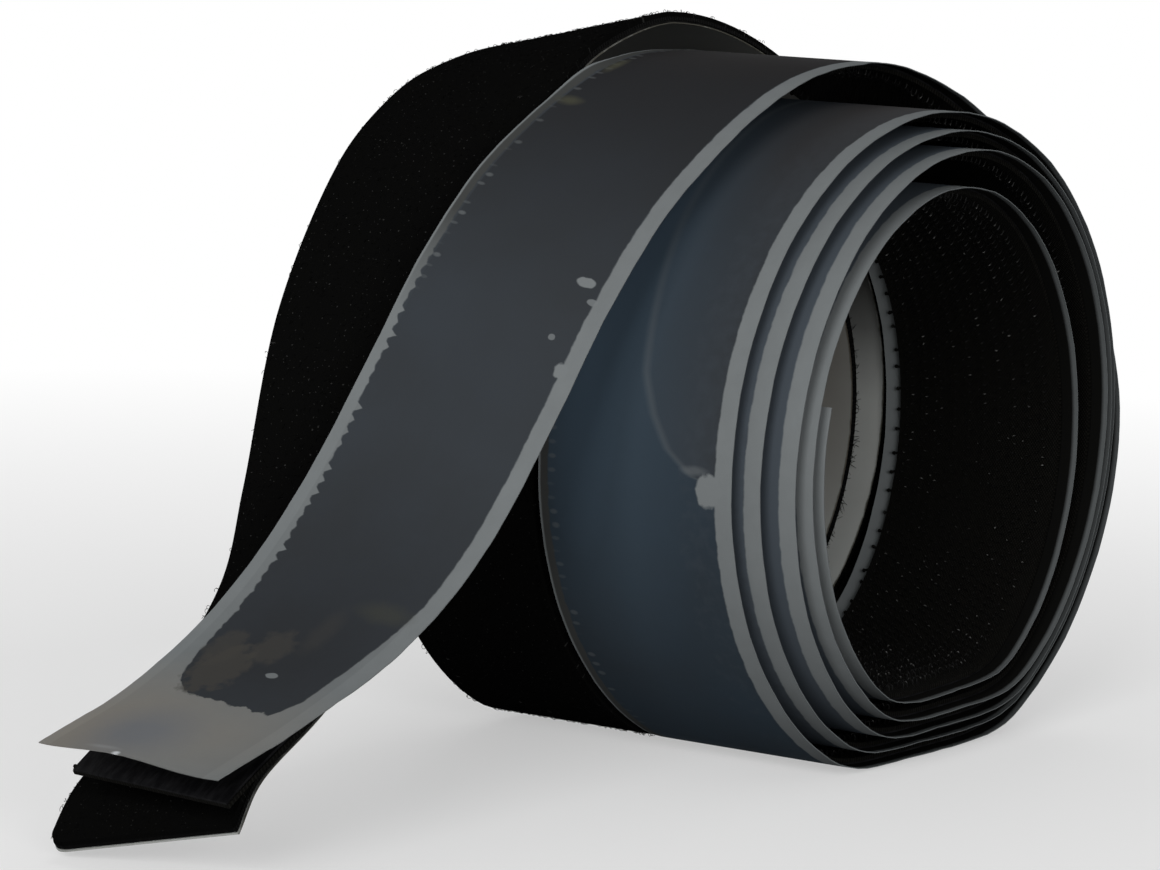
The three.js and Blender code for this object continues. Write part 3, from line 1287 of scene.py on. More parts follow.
@dataclass
class HookTape(Tape):
    """The hook tape: film outside, then adhesive, weave, and hooks towards the axis.

    Attributes:
        near_margin: How far the film stands out of the tape on the near side.
        far_margin: The same on the far side.
        inner_margin: How much wider the far margin is on the inner turns.
        widens: Where it starts and stops widening, before the tape's inner end.
        droop: How far the tape droops under the liner's free end.
        overhang: How far that end reaches past the tape's.
        film_depths: The film's depths.
        glue_depths: The adhesive's depths.
        weave_depths: The weave's depths.
        hook_height: The height of a hook.
        hook_radius: The radius of its filament.
        hook_bend: The filament's way, sideways and up, in heights of the hook.
        hook_taper: Its thickness along that way.
        hook_tip: Where along that way it has its painted glint.
        hook_swing: How unevenly the hooks are turned.
        hook_sizes: The least and the greatest of them, as shares of the height.
        hook_jitter: How unevenly they stand along and across the tape.
        end_gap: How far the last ones stay from the tape's inner end.
        row_pitch: The pitch of the rows of hooks.
        column_pitch: The pitch of the hooks in a row.
        inner_turn_share: The length that has hooks all over, as a share of the innermost circle's.
        picot_pitch: The pitch of the thread ends at the far selvage.
        picot_reach: How far they stand out.
        picot_root: How deep they start inside the selvage.
        picot_radius: Their radius.
        picot_steps: The places along a thread end, from its root to its tip.
        picot_taper: Its thickness there, with a knot near its tip.
        picot_jitter: How unevenly they stand along the tape.
        picot_sizes: The least and the greatest of them, as shares of the reach.
        picot_bend: How far they lean along the tape at most, as a share of the reach.
        margin_waves: The height, length and phase of each wave of the film's margins.
        end_wave: How high the liner's end waves.
        end_phase: Where that wave starts across the tape, in radians.
        arch_curl: How far the far margin curls where the tail leaves the coil.
        arch_place: Where along the tape it curls most.
        arch_reach: Over what length it does so.
    """

    near_margin: float = 2.3
    far_margin: float = 1.5
    inner_margin: float = 1.3
    widens: Span = (420.0, 320.0)
    droop: float = 4.5
    overhang: float = 3.0
    film_depths: Span = (0.0, 0.12)
    glue_depths: Span = (0.13, 0.42)
    weave_depths: Span = (0.42, 0.95)
    hook_height: float = 0.72
    hook_radius: float = 0.075
    hook_bend: Rows = ((0, -0.1), (0.02, 0.55), (0.2, 0.93), (0.5, 0.9), (0.6, 0.6))
    hook_taper: tuple[float, ...] = (1.2, 1.0, 1.0, 0.95, 0.7)
    hook_tip: tuple[int, ...] = (0, 0, 1, 0, 0)
    hook_swing: float = 0.35
    hook_sizes: Span = (0.85, 1.05)
    hook_jitter: Span = (0.2, 0.12)
    end_gap: float = 0.3
    row_pitch: float = 1.3
    column_pitch: float = 1.15
    inner_turn_share: float = 1.08
    picot_pitch: float = 2.9
    picot_reach: float = 0.95
    picot_root: float = 0.2
    picot_radius: float = 0.2
    picot_steps: tuple[float, ...] = (0, 0.3, 0.6, 0.8, 1.0)
    picot_taper: tuple[float, ...] = (1.2, 0.9, 0.9, 1.5, 0.8)
    picot_jitter: float = 0.4
    picot_sizes: Span = (0.6, 1.0)
    picot_bend: float = 0.35
    margin_waves: tuple[tuple[float, float, float], ...] = ((0.08, 17.0, 0.7), (0.03, 4.3, 1.9))
    end_wave: float = 0.35
    end_phase: float = 1.9
    arch_curl: float = 0.9
    arch_place: float = 127.0
    arch_reach: float = 5.0

    def tape_course(self) -> Course:
        """The course of the tape itself, which droops under the liner's free end."""
        share = np.clip((self.flap - self.course.along) / (self.flap - self.overhang), 0, None)
        return self.course.raised(-self.droop * share**2)

    def film_columns(self, along: Array) -> Array:
        """Spaces the film's columns, close together at its margins. The far one widens on inner turns.

        Args:
            along: The distances along the tape.

        Returns:
            Places across the tape, a row for each distance.
        """
        wider = ease(along, self.end - self.widens[0], self.end - self.widens[1])
        margin = -self.half - np.outer(self.far_margin + self.inner_margin * wider, np.linspace(1, 0, 4))
        rest = np.concatenate([np.linspace(1 - self.half, self.half - 1, 9),
                               np.linspace(self.half, self.half + self.near_margin, 5)])
        return np.hstack([margin, np.tile(rest, (len(along), 1))])

    def film(self, along: Array) -> Mesh:
        """Makes a stretch of film with waving margins.

        Args:
            along: The distances along the tape.

        Returns:
            Places, faces and marks.
        """
        columns = self.film_columns(along)
        free = np.maximum(np.abs(columns) - self.half, 0) / self.near_margin
        wave = sum(height * ripple(along, length, phase) for height, length, phase in self.margin_waves)
        curl = self.end_wave * np.clip(1 - along / self.flap, 0, 1) ** 2
        across = np.sin(FULL_TURN * columns / self.width + self.end_phase)
        rise = wave[:, None] * free + curl[:, None] * across
        lip = self.arch_curl * np.exp(-(((along - self.arch_place) / self.arch_reach) ** 2))
        rise = rise + lip[:, None] * free * (columns < 0)
        places, faces, marks = MeshKit.strip(self.course.at(along), self.film_depths, columns, rise=rise)
        marks["inner_face"] = np.tile(np.repeat([0, 1], columns.shape[1]), len(along))
        return places, faces, marks

    def hooks(self, along: Array, columns: Array, seed: int) -> Mesh:
        """Makes hooks in rows.

        Args:
            along: The rows' distances along the tape.
            columns: The hooks' places across it.
            seed: The seed of their unevenness.

        Returns:
            Places, faces and marks.
        """
        chance = np.random.default_rng(seed)
        row, column = (grid.ravel() for grid in np.meshgrid(along, np.arange(len(columns)), indexing="ij"))
        ahead, aside = self.hook_jitter
        distance = row + chance.uniform(-ahead, ahead, row.shape) + 0.5 * self.row_pitch * (column % 2)
        distance = np.minimum(distance, self.end - self.end_gap)
        edge = columns[column] + chance.uniform(-aside, aside, row.shape)
        base = self.tape_course().at(distance)
        inward = -base.normals
        swing = chance.normal(0, self.hook_swing, row.shape) + math.pi * (column % 2)
        sideways = base.across * np.cos(swing)[:, None] - base.ahead * np.sin(swing)[:, None]
        profile = np.array(self.hook_bend) * self.hook_height
        tall = chance.uniform(*self.hook_sizes, row.shape)[:, None, None]
        foot = base.place(self.weave_depths[1], edge)
        paths = foot[:, None] + tall * (profile[:, :1] * sideways[:, None] + profile[:, 1:] * inward[:, None])
        radii = self.hook_radius * np.array(self.hook_taper)
        flats = np.cross(sideways, inward)
        places, faces, marks = MeshKit.tubes(paths, flats, radii, THREAD_SIDES, distance, edge)
        marks["tip"] = np.tile(np.repeat(self.hook_tip, THREAD_SIDES), len(distance))
        return places, faces, marks

    def picots(self, start: float, stop: float, seed: int = 19) -> Mesh:
        """Makes the knotted thread ends that stand out of the far selvage.

        Args:
            start: Where the first thread is along the tape.
            stop: Where the last one is.
            seed: The seed of their unevenness.

        Returns:
            Places, faces and marks.
        """
        chance = np.random.default_rng(seed)
        distance = np.arange(start + 1, stop - 1, self.picot_pitch)
        distance = distance + chance.uniform(-self.picot_jitter, self.picot_jitter, distance.shape)
        base = self.tape_course().at(distance)
        foot = base.place(sum(self.weave_depths) / 2, self.picot_root - self.half)
        reach = np.outer(chance.uniform(*self.picot_sizes, distance.shape), np.array(self.picot_steps))
        reach = reach * (self.picot_reach + self.picot_root)
        bend = chance.uniform(-self.picot_bend, self.picot_bend, distance.shape)[:, None] * reach
        paths = foot[:, None] - base.across[:, None] * reach[..., None]
        paths = paths - base.ahead[:, None] * bend[..., None]
        radii = self.picot_radius * np.array(self.picot_taper)
        return MeshKit.tubes(paths, base.normals, radii, KNOT_SIDES, distance, -self.half)

    def build_weave(self) -> None:
        """Makes the woven tape of the coil and of the tail, with its selvages."""
        inner = np.linspace(self.selvage - self.half, self.half - self.selvage, 7)
        columns = np.concatenate([[-self.half, 0.5 - self.half], inner, [self.half - 0.5, self.half]])
        for stretch in (Stretch.COIL, Stretch.TAIL):
            along = self.steps(stretch, self.overhang)
            strip = MeshKit.strip(self.tape_course().at(along), self.weave_depths, columns)
            cloth = MeshKit.joined(strip, self.picots(along[0], along[-1]))
            self.cut(self.dress(stretch, Layer.WEAVE, "weave_cloth", cloth), stretch, along)

    def build_hooks(self) -> None:
        """Makes the hooks. On the outer turns of the coil only the rims show, so only they have hooks."""
        columns = np.arange(self.selvage - self.half + 0.3, self.half - self.selvage, self.column_pitch)
        rims = columns[[0, 1, -2, -1]]
        innermost = self.winding.reach(np.array([self.winding.turns]))[0]
        inner_turn = self.end - FULL_TURN * innermost * self.inner_turn_share
        outer_rows = np.arange(self.seam + 1, inner_turn, self.row_pitch)
        inner_rows = np.arange(inner_turn, self.end - 0.5, self.row_pitch)
        tail_rows = np.arange(self.overhang + 0.8, self.seam, self.row_pitch)
        coil = MeshKit.joined(self.hooks(outer_rows, rims, 3), self.hooks(inner_rows, columns, 5))
        self.dress(Stretch.COIL, Layer.HOOKS, "hook_field", coil)
        self.dress(Stretch.TAIL, Layer.HOOKS, "hook_field", self.hooks(tail_rows, columns, 7))

    def build(self) -> None:
        """Makes every piece of the tape, from the outside of its coil to the inside."""
        self.build_films()
        self.build_glue(self.tape_course(), self.glue_depths, self.overhang)
        self.build_weave()
        self.build_hooks()


@dataclass
class LoopTape(Tape):
    """The loop tape: pile outside, then weave, adhesive, and film towards the axis.

    Attributes:
        film_margin: How far the film stands out of the tape on both sides.
        pile_edge: How far the pile stays from the tape's edges.
        end_corner: The radius of the far corner at the tape's free end.
        pile_depths: The pile's depths.
        weave_depths: The weave's depths.
        glue_depths: The adhesive's depths.
        film_depths: The film's depths.
        loop_height: How far the loops stand out.
        rim_height: The same along the edges.
        loop_radius: The radius of their thread.
        loop_root: How deep in the pile they start.
        loop_sizes: The least and the greatest of them, as shares of the height.
        loop_widths: The least and the greatest half of their width.
        loop_lean: How unevenly they lean.
        loop_inset: How far the loops in the middle stay from the pile's edges.
        loop_start: How far behind the pile's start the loops start.
        loops_per_square: How many loops there are in a square millimetre.
        rims: For each edge its side, its loops in a square millimetre and the seed of their unevenness.
        rim_reach: How far these loops stand inside and outside the pile's edge.
        fuzz_per_mm: How many loose fibres a millimetre of the near edge has.
        fuzz_length: How long they are at most.
        fuzz_taper: Their thickness along them.
        fuzz_root: How far inside the edge they start.
        fuzz_sizes: The least and the greatest of them, as shares of the length.
        fuzz_aside: How much they point away from the edge, least and most.
        fuzz_out: How much they point outwards, least and most.
        fuzz_sway: How unevenly they point along the tape.
        fuzz_curl: How unevenly they curl outwards and along the tape.
        fuzz_stretch: The length at the tape's inner end that has them.
    """

    film_margin: float = 0.12
    pile_edge: float = 0.2
    end_corner: float = 2.0
    pile_depths: Span = (0.3, 1.0)
    weave_depths: Span = (0.98, 1.46)
    glue_depths: Span = (1.46, 1.78)
    film_depths: Span = (1.79, 1.91)
    loop_height: float = 0.28
    rim_height: float = 0.42
    loop_radius: float = 0.036
    loop_root: float = 0.08
    loop_sizes: Span = (0.5, 1.0)
    loop_widths: Span = (0.18, 0.42)
    loop_lean: float = 0.5
    loop_inset: float = 0.2
    loop_start: float = 0.4
    loops_per_square: float = 0.6
    rims: tuple[tuple[int, float, int], ...] = ((-1, 0.8, 13), (1, 1.3, 17))
    rim_reach: Span = (1.0, 0.2)
    fuzz_per_mm: float = 3.0
    fuzz_length: float = 1.2
    fuzz_taper: tuple[float, ...] = (1.6, 1.5, 1.2, 0.8)
    fuzz_root: float = 0.3
    fuzz_sizes: Span = (0.4, 1)
    fuzz_aside: Span = (0.4, 1)
    fuzz_out: Span = (-0.3, 1)
    fuzz_sway: float = 0.5
    fuzz_curl: Span = (0.3, 0.4)
    fuzz_stretch: float = 600.0

    def loops(self, span: Span, edges: Span, dense: float, height: float, seed: int) -> Mesh:
        """Makes the curled threads of the pile.

        Args:
            span: Where they start and stop along the tape.
            edges: Their furthest places across it.
            dense: How many there are in a square millimetre.
            height: How far the tallest stand out.
            seed: The seed of their unevenness.

        Returns:
            Places, faces and marks.
        """
        chance = np.random.default_rng(seed)
        count = round((span[1] - span[0]) * (edges[1] - edges[0]) * dense)
        distance, edge = chance.uniform(*span, count), chance.uniform(*edges, count)
        base = self.course.at(distance)
        turn = chance.uniform(0, FULL_TURN, count)
        sideways = base.across * np.cos(turn)[:, None] + base.ahead * np.sin(turn)[:, None]
        bow = np.linspace(0, math.pi, 5)
        tall = chance.uniform(*self.loop_sizes, count)[:, None, None] * height
        wide = chance.uniform(*self.loop_widths, count)[:, None, None]
        foot = base.place(self.pile_depths[0] + self.loop_root, edge)
        lean = np.cross(sideways, base.normals) * chance.normal(0, 1, (count, 1))
        leaning = unit(base.normals + self.loop_lean * lean)
        paths = foot[:, None] + wide * np.cos(bow)[None, :, None] * sideways[:, None]
        paths = paths + tall * np.sin(bow)[None, :, None] * leaning[:, None]
        radii = np.full(len(bow), self.loop_radius)
        return MeshKit.tubes(paths, unit(np.cross(sideways, leaning)), radii, THREAD_SIDES, distance, edge)

    def fuzz(self, start: float, stop: float, seed: int = 23) -> Mesh:
        """Makes the loose fibres that stand out of the near edge.

        Args:
            start: Where they start along the tape.
            stop: Where they stop.
            seed: The seed of their unevenness.

        Returns:
            Places, faces and marks.
        """
        chance = np.random.default_rng(seed)
        count = round((stop - start) * self.fuzz_per_mm)
        distance = chance.uniform(start, stop, count)
        base = self.course.at(distance)
        ahead = base.ahead
        each = (count, 1)
        depth = chance.uniform(self.pile_depths[0], self.weave_depths[1], count)
        foot = base.place(depth, self.half - self.fuzz_root)
        aside, out = chance.uniform(*self.fuzz_aside, each), chance.uniform(*self.fuzz_out, each)
        sway = chance.normal(0, self.fuzz_sway, each)
        aim = unit(base.across * aside + base.normals * out + ahead * sway)
        curl_out, curl_ahead = (chance.normal(0, spread, each) for spread in self.fuzz_curl)
        curl = base.normals * curl_out + ahead * curl_ahead
        reach = chance.uniform(*self.fuzz_sizes, (count, 1, 1)) * self.fuzz_length
        radii = self.loop_radius * np.array(self.fuzz_taper)
        share = np.linspace(0, 1, len(radii))[None, :, None]
        paths = foot[:, None] + reach * (share * aim[:, None] + share**2 * curl[:, None])
        return MeshKit.tubes(paths, unit(np.cross(aim, ahead)), radii, THREAD_SIDES, distance, self.half)

    def build_pile(self) -> None:
        """Makes the pile of the coil and of the tail. Inside the coil only its edges show, and have loops."""
        most = self.half - self.pile_edge
        columns = np.linspace(-most, most, 17)
        first_turn = self.seam + FULL_TURN * self.winding.radius * self.winding.oval
        for stretch, corner in ((Stretch.COIL, 0.0), (Stretch.TAIL, self.end_corner)):
            along = self.steps(stretch)
            start, stop = along[0] + self.loop_start, along[-1]
            parts = [MeshKit.strip(self.course.at(along), self.pile_depths, columns, corner=corner)]
            shown = (start, min(stop, first_turn))
            middle = (self.loop_inset - most, most - self.loop_inset)
            parts.append(self.loops(shown, middle, self.loops_per_square, self.loop_height, 11))
            for side, dense, seed in self.rims:
                low, high = sorted((side * (most - self.rim_reach[0]), side * (most + self.rim_reach[1])))
                parts.append(self.loops((start, stop), (low, high), dense, self.rim_height, seed))
            if stretch is Stretch.COIL:
                parts.append(self.fuzz(stop - self.fuzz_stretch, stop))
            self.dress(stretch, Layer.PILE, "pile_loops", MeshKit.joined(*parts))

    def build_weave(self) -> None:
        """Makes the woven tape of the coil and of the tail."""
        inner = np.linspace(0.5 - self.half, self.half - 0.5, 9)
        columns = np.concatenate([[-self.half], inner, [self.half]])
        for stretch, corner in ((Stretch.COIL, 0.0), (Stretch.TAIL, self.end_corner)):
            along = self.steps(stretch)
            strip = MeshKit.strip(self.course.at(along), self.weave_depths, columns, corner=corner)
            self.cut(self.skin(stretch, Layer.WEAVE, strip), stretch, along)

    def film(self, along: Array) -> Mesh:
        """Makes a stretch of the inner film.

        Args:
            along: The distances along the tape.

        Returns:
            Places, faces and marks.
        """
        most = self.half + self.film_margin
        inner = np.linspace(1 - self.half, self.half - 1, 9)
        columns = np.concatenate([[-most, -self.half], inner, [self.half, most]])
        corner = self.end_corner if along[0] == 0 else 0.0
        return MeshKit.strip(self.course.at(along), self.film_depths, columns, corner=corner)

    def build(self) -> None:
        """Makes every piece of the tape, from the outside of its coil to the inside."""
        self.build_pile()
        self.build_weave()
        self.build_glue(self.course, self.glue_depths, 0.3, self.end_corner)
        self.build_films()


@dataclass(frozen=True)
class Lamp:
    """A soft square lamp.

    Attributes:
        name: Its name.
        place: Where it hangs, in metres.
        size: The side of its face, in metres.
        power: Its power in watts.
    """

    name: str
    place: Place
    size: float
    power: float

    def hang(self, aim: Place) -> None:
        """Makes the lamp.

        Args:
            aim: The place that it faces, in metres.
        """
        data = bpy.data.lights.new(self.name, "AREA")
        data.size, data.energy = self.size, self.power
        lamp = bpy.data.objects.new(self.name, data)
        lamp.location = self.place
        lamp.rotation_euler = (Vector(aim) - Vector(self.place)).to_track_quat("-Z", "Y").to_euler()
        bpy.context.scene.collection.objects.link(lamp)


@dataclass(frozen=True)
class Studio:
    """The floor, the light and the camera at the photograph's viewing angle.

    Attributes:
        target: The place that the camera looks at.
        azimuth: The camera's direction round the part, in degrees.
        elevation: Its height over the horizon.
        roll: Its tilt about its own line of sight.
        distance: How far it stands from the target.
        focal_pixels: Its focal length in pixels of the photograph.
        image_width: The photograph's width in pixels.
        sensor: The width of the camera's sensor.
        clip: The nearest and the furthest that it sees, in metres.
        ambient: How strongly the world lights the part.
        floor_size: How far the floor reaches, in metres.
        floor_gap: How far it lies under the part.
        lamps: The lamps.
        lit: The place that the lamps face, in metres.
    """

    target: Place = (14.96, -17.30, 45.01)
    azimuth: float = 36.16
    elevation: float = 7.835
    roll: float = 1.437
    distance: float = 598.12
    focal_pixels: float = 5000.0
    image_width: float = 1160.0
    sensor: float = 36.0
    clip: Span = (0.01, 50)
    ambient: float = 0.3
    floor_size: float = 6.0
    floor_gap: float = 0.25
    lamps: tuple[Lamp, ...] = (
        Lamp("key", (0.35, -1.1, 0.5), 0.5, 8.5),
        Lamp("fill", (0.95, -0.65, 0.25), 0.5, 6.0),
        Lamp("back", (-0.5, 0.8, 0.8), 0.6, 2.0),
    )
    lit: Place = (0, 0, 0.04)

    def camera(self) -> None:
        """Makes the camera."""
        azimuth, elevation = math.radians(self.azimuth), math.radians(self.elevation)
        level = math.cos(elevation)
        back = Vector((math.sin(azimuth) * level, -math.cos(azimuth) * level, math.sin(elevation)))
        data = bpy.data.cameras.new("camera")
        data.sensor_width = self.sensor
        data.lens = self.focal_pixels / self.image_width * self.sensor
        data.clip_start, data.clip_end = self.clip
        camera = bpy.data.objects.new("camera", data)
        turn = (-back).to_track_quat("-Z", "Y").to_matrix() @ Matrix.Rotation(math.radians(self.roll), 3, "Z")
        stand = (Vector(self.target) + back * self.distance) * MM
        camera.matrix_world = Matrix.Translation(stand) @ turn.to_4x4()
        bpy.context.scene.collection.objects.link(camera)
        bpy.context.scene.camera = camera

    def world(self) -> None:
        """Makes a world that is white to look at and lights the part evenly."""
        world = bpy.data.worlds.new("studio")
        bpy.context.scene.world = world
        world.use_nodes = True
        graph = Graph(world.node_tree)
        backdrop = graph.tree.nodes["Background"].inputs
        graph.fill(backdrop["Color"], (1, 1, 1, 1))
        graph.fill(backdrop["Strength"], graph.ramp(graph.backdrop_rays(), 0, 1, self.ambient, 1))

    def floor(self) -> None:
        """Makes the floor."""
        mesh = bpy.data.meshes.new("floor")
        reach = self.floor_size
        corners = [(-reach, -reach, 0), (reach, -reach, 0), (reach, reach, 0), (-reach, reach, 0)]
        mesh.from_pydata(corners, [], [(0, 1, 2, 3)])
        floor = bpy.data.objects.new("floor", mesh)
        floor.location.z = -self.floor_gap * MM
        bpy.context.scene.collection.objects.link(floor)
        mesh.materials.append(FloorFinish("floor").material())

    def build(self) -> None:
        """Sets the stage."""
        bpy.context.scene.view_settings.view_transform = "Standard"
        self.world()
        self.floor()
        for lamp in self.lamps:
            lamp.hang(self.lit)
        self.camera()


HOOK_ROUTE = TailRoute(
    rows=(
        (17.6, 2.1, 0, -4, 0),
        (40.7, 13.5, 0, -8, 0),
        (54.1, 25.5, 0, -10, 0),
        (64.9, 38.5, 0, -10, 0),
        (77, 51.9, 0, -8, 0),
        (90.5, 62, 0, -4, -2),
        (106.9, 69.2, 0, 0, -5),
        (123.3, 73.6, 0, 0, -5),
    ),
    end_height=14.1,
)
LOOP_ROUTE = TailRoute(
    rows=(
        (17.4, 3.3, 0.5, 9, 2),
        (25.8, 7.8, 1, 2, 4),
        (37.3, 15.3, 2.5, 1, 6),
        (53.6, 32.8, 6.5, 1, 8),
        (66.4, 53, 12, 3, 8),
        (73.6, 62.5, 15, 5, 8),
        (91.5, 73.5, 19, 9, 7),
        (107.8, 80.2, 22.4, 11, 8),
        (114.5, 84.8, 24.8, 12, 10),
    ),
    end_height=4.3,
)


def milky_film(coil: float) -> FilmFinish:
    """Sets out the hook tape's liner.

    Args:
        coil: The distance from the liner's free end to the top of the coil.

    Returns:
        The finish.
    """
    free, taupe, warm = (0.165, 0.178, 0.182, 1), (0.05, 0.0475, 0.043, 1), (0.228, 0.209, 0.18, 1)
    # On the next line: a painted glare, a stain, and the colour of painted glints.
    painted_glare, stain, white = (0.158, 0.167, 0.18, 1), (0.06, 0.06, 0.042, 1), (0.6, 0.62, 0.64, 1)
    # On the next two lines: painted shade, painted light as a bluish reflection, painted light for film in
    # the tail's shadow, painted light between the turns, and painted shade for the coil's top.
    painted_shade, glow = (0.012, 0.011, 0.011, 1), (0.053, 0.082, 0.112, 1)
    deep, painted_light_between_turns, painted_top_shade = (0.075, 0.112, 0.155, 1), (0.055, 0.066, 0.079, 1), (0.032, 0.029, 0.028, 1)
    return FilmFinish(
        # The cool colour is the film standing off the adhesive, tinted bluish as a painted reflection.
        name="milky_liner", wet=(0.04, 0.0465, 0.0545, 1), cool=(0.03, 0.043, 0.057, 1), free=free,
        bare=(0.03, 0.03, 0.028, 1), shade=painted_shade,
        # Painted shade over the upper tail and the top of the coil, where the film faces away from the light.
        shade_rows=((84, 0.1), (118, 0.62), (140, 0.9), (coil + 20, 0.9), (coil + 60, 0)),
        near_rows=((14, 7.5), (17, 9.5), (20, 10.6), (29, 11.0), (41, 12.4)),
        far_rows=((17, -7.0), (20, -9.0), (25, -10.4), (50, -11.7), (66, -12.4), (80, -12.9), (90, -12.6)),
        front_rows=((-9, 20), (-6, 16.8), (5, 16), (8, 16)),
        lifted_rows=(
            (coil + 40, -16), (coil + 90, 16), (coil + 213.5, 16), (coil + 215, 9), (coil + 218, 5.2),
            (coil + 222, 2.7), (coil + 227, 0.6), (coil + 247, -2.1), (coil + 266, -3.9), (coil + 285, -6.5),
            (coil + 330, -16),
        ),
        bare_rows=((78, 0), (95, 0.85), (coil + 290, 0.85), (coil + 300, 0)),
        tooth_rows=((30, 0.2), (42, 1.2), (82, 1.2), (90, 0)),
        dot_rows=((80, 0), (90, 0.5), (110, 0.25), (coil + 150, 0.25), (coil + 290, 0.35), (coil + 300, 0)),
        free_tones_and_glare=(
            Tint(5, -9, 11, 8, warm, soft=0.8, share=0.9),
            Tint(9, 6, 9, 9, warm, soft=0.8, share=0.5),
            # A painted bluish glare and two painted glints on the liner's free end.
            Tint(6, -3.2, 5.5, 6, painted_glare, soft=0.6, share=0.9),
            Tint(0.2, -1.4, 0.4, 0.5, white, soft=0.5),
            Tint(1.2, -4.4, 0.35, 2.2, white, soft=0.6, share=0.12),
        ),
        painted_light_and_shade=(
            # Painted light: a bluish reflection on the front of the coil.
            Tint(coil + 228, -5, 24, 10, glow, soft=0.8, share=0.7),
            Tint(coil + 262, -9, 30, 8, glow, soft=0.8, share=0.7),
            # Painted light on the coil beside the tail's near margin, where the tail casts its shadow.
            Tint(coil + 232, -8, 16, 3.5, deep, soft=0.9, share=0.7),
            Tint(coil + 252, -3.4, 14, 2.6, deep, soft=0.9, share=0.6),
            Tint(coil + 270, -4, 12, 2.6, deep, soft=0.9, share=0.5),
            # Painted light on the near edges of the inner turns, in the shade between the turns.
            Tint(coil + 800, 10, 480, 6, painted_light_between_turns, soft=0.3, share=0.9),
            # Painted shade on the coil's upper front and on its top.
            Tint(coil + 245, 6, 40, 12, painted_shade, soft=0.8, share=0.3),
            Tint(coil + 285, 5, 22, 14, painted_top_shade, soft=0.8, share=0.75),
            # Painted shade on the lower tail.
            Tint(30, 0, 20, 20, painted_shade, soft=0.7, share=0.38),
        ),
        tints=(
            Tint(22.6, -5.0, 5.2, 3.6, taupe, soft=0.15, share=0.75, rough=1.6),
            Tint(28.4, -1.2, 3.2, 2.6, taupe, soft=0.2, share=0.6, rough=1.6),
            Tint(26.4, -7.4, 3.6, 2.4, taupe, soft=0.2, share=0.6, rough=1.6),
            Tint(33, 3, 3.8, 1.4, taupe, soft=0.5, share=0.3, rough=1.6),
            Tint(38.5, 8.4, 1.5, 3.4, stain, soft=0.5, share=0.3, rough=1.6),
            Tint(119.4, -11, 0.9, 1.6, stain, soft=0.6, share=0.8),
            Tint(131, -11.6, 2.2, 0.7, stain, soft=0.6, share=0.8),
            Tint(23.5, 2.6, 0.6, 0.9, free, share=0.85),
            Tint(90, 9.9, 0.75, 1.4, free),
            Tint(87.7, 12.2, 0.5, 0.8, free, share=0.8),
            Tint(81.6, 9.1, 0.45, 0.5, free, share=0.7),
            Tint(77.7, 12.4, 1.1, 1.0, free),
            Tint(coil + 213.5, 11.4, 2.0, 1.9, free),
            Tint(coil + 215.8, 9.4, 0.5, 1.6, free, soft=0.5, share=0.3),
        ),
    )


def warm_film(coil: float) -> FilmFinish:
    """Sets out the loop tape's liner.

    Args:
        coil: The distance from the liner's free end to the top of the coil.

    Returns:
        The finish.
    """
    # The second colour here is a painted shadow.
    cream, painted_shadow = (0.38, 0.392, 0.38, 1), (0.06, 0.05, 0.038, 1)
    return FilmFinish(
        name="warm_liner", wet=cream, cool=cream, free=(0.07, 0.067, 0.056, 1), bare=(0.2, 0.19, 0.165, 1),
        near_rows=((0, 12.5),), far_rows=((0, -12.5),),
        # Painted shade over the liner of the tail, the arch and the two outer turns, where it lies in shade.
        # shade_edge takes it over the margins too.
        shade_rows=((0, 0), (10, 0.8), (coil + 120, 0.8), (coil + 220, 0.97), (coil + 574, 0.95),
                    (coil + 583, 0.7), (coil + 594, 0)),
        shade_edge=12.6,
        # A painted shadow that the hook coil casts on the innermost turn.
        tints=(Tint(coil + 808, 5, 32, 12, painted_shadow, soft=0.9, share=0.95, rough=0.4),),
    )


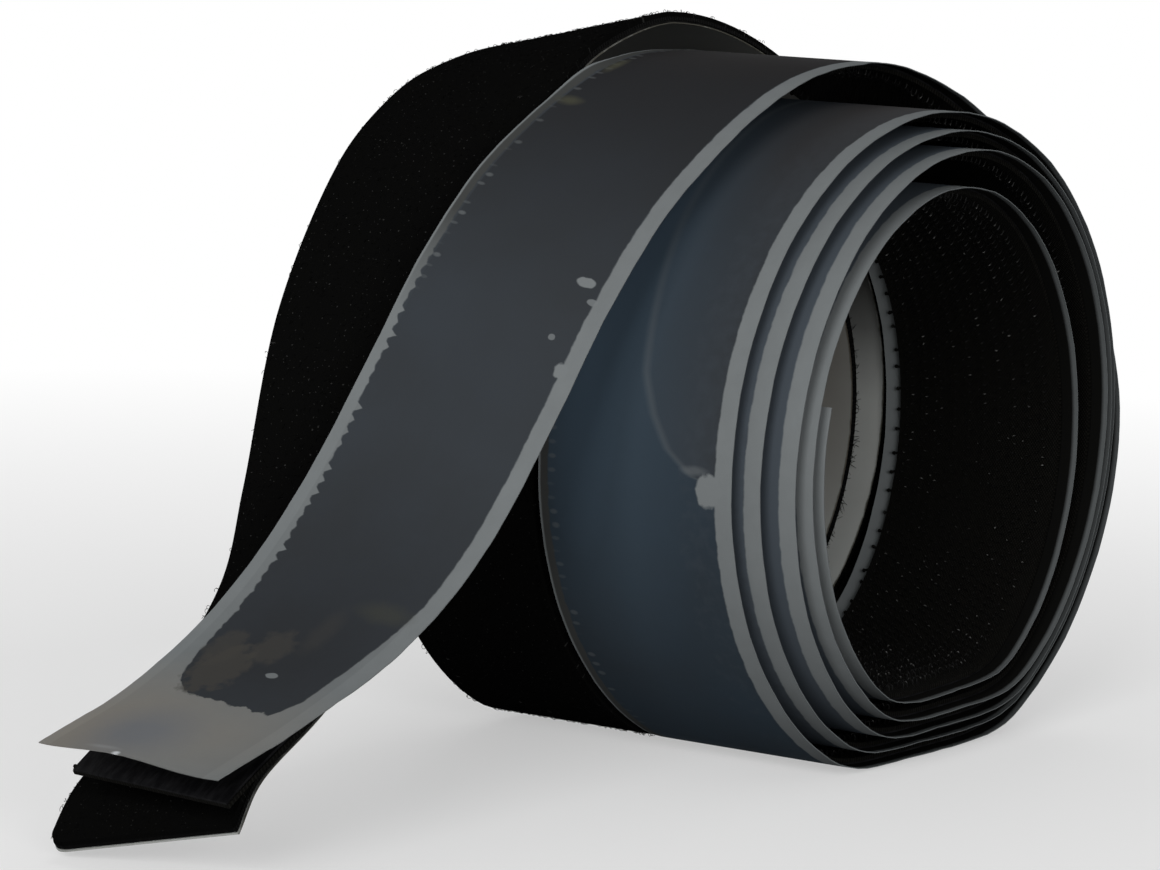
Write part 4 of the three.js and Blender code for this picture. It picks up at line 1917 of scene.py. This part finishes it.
def hook_tape() -> HookTape:
    """Sets out the hook tape with its finishes.

    Returns:
        The tape, ready to build.
    """
    liner_middle = (HookTape.near_margin - HookTape.far_margin) / 2
    top = joint_place("hook_tail_lift") - np.array([liner_middle, 0, 0])
    winding = HookWinding(top=top, radius=44.3, turns=4.79, pitch=2.26, lift=3.2, lift_turns=0.3)
    tape = HookTape("hook", winding, HOOK_ROUTE, flap=30.0, liner_slot="clear_liner")
    finishes = {
        Layer.LINER: milky_film(tape.tail_length),
        Layer.ADHESIVE: GlueFinish("tacky_adhesive", (0.004, 0.004, 0.0045, 1), (0.012, 0.012, 0.013, 1)),
        Layer.WEAVE: ClothFinish("hook_cloth", (0.003, 0.0029, 0.0025, 1), (0.008, 0.0076, 0.0066, 1)),
        # The hooks' second colour is their painted glint.
        Layer.HOOKS: FilamentFinish("hook_nylon", (0.0025, 0.0025, 0.0025, 1), (0.14, 0.14, 0.135, 1)),
    }
    tape.finishes = {layer: finish.material() for layer, finish in finishes.items()}
    return tape


def loop_tape() -> LoopTape:
    """Sets out the loop tape with its finishes.

    Returns:
        The tape, ready to build.
    """
    top = joint_place("loop_tail_lift")
    radius, pitch = 42.3, 2.41
    axis_height = (radius - pitch / 2) * (1 - LoopWinding.flat_depth / radius)
    lift = top[2] - axis_height - radius
    winding = LoopWinding(top, radius, turns=3.75, pitch=pitch, lift=lift, lift_turns=0.5, twist=13.0)
    tape = LoopTape("loop", winding, LOOP_ROUTE, flap=24.0, liner_slot="paper_liner")
    finishes = {
        Layer.LINER: warm_film(tape.tail_length),
        Layer.ADHESIVE: GlueFinish("loop_adhesive", (0.004, 0.004, 0.0038, 1), (0.01, 0.0095, 0.009, 1)),
        Layer.WEAVE: ClothFinish("loop_cloth", (0.0022, 0.0022, 0.0022, 1), (0.006, 0.006, 0.006, 1)),
        Layer.PILE: PileFinish("brushed_pile", (0.003, 0.003, 0.0029, 1), (0.03, 0.03, 0.029, 1)),
    }
    tape.finishes = {layer: finish.material() for layer, finish in finishes.items()}
    return tape


def main() -> None:
    """Builds the stage and both tapes."""
    logging.basicConfig(level=logging.INFO, format="%(name)s: %(message)s")
    Studio().build()
    for tape in (hook_tape(), loop_tape()):
        LOG.info("%s tape: %.0f mm long, tail %.0f mm", tape.word, tape.end, tape.tail_length)
        tape.build()
    bpy.context.view_layer.update()


if __name__ == "__main__":
    main()
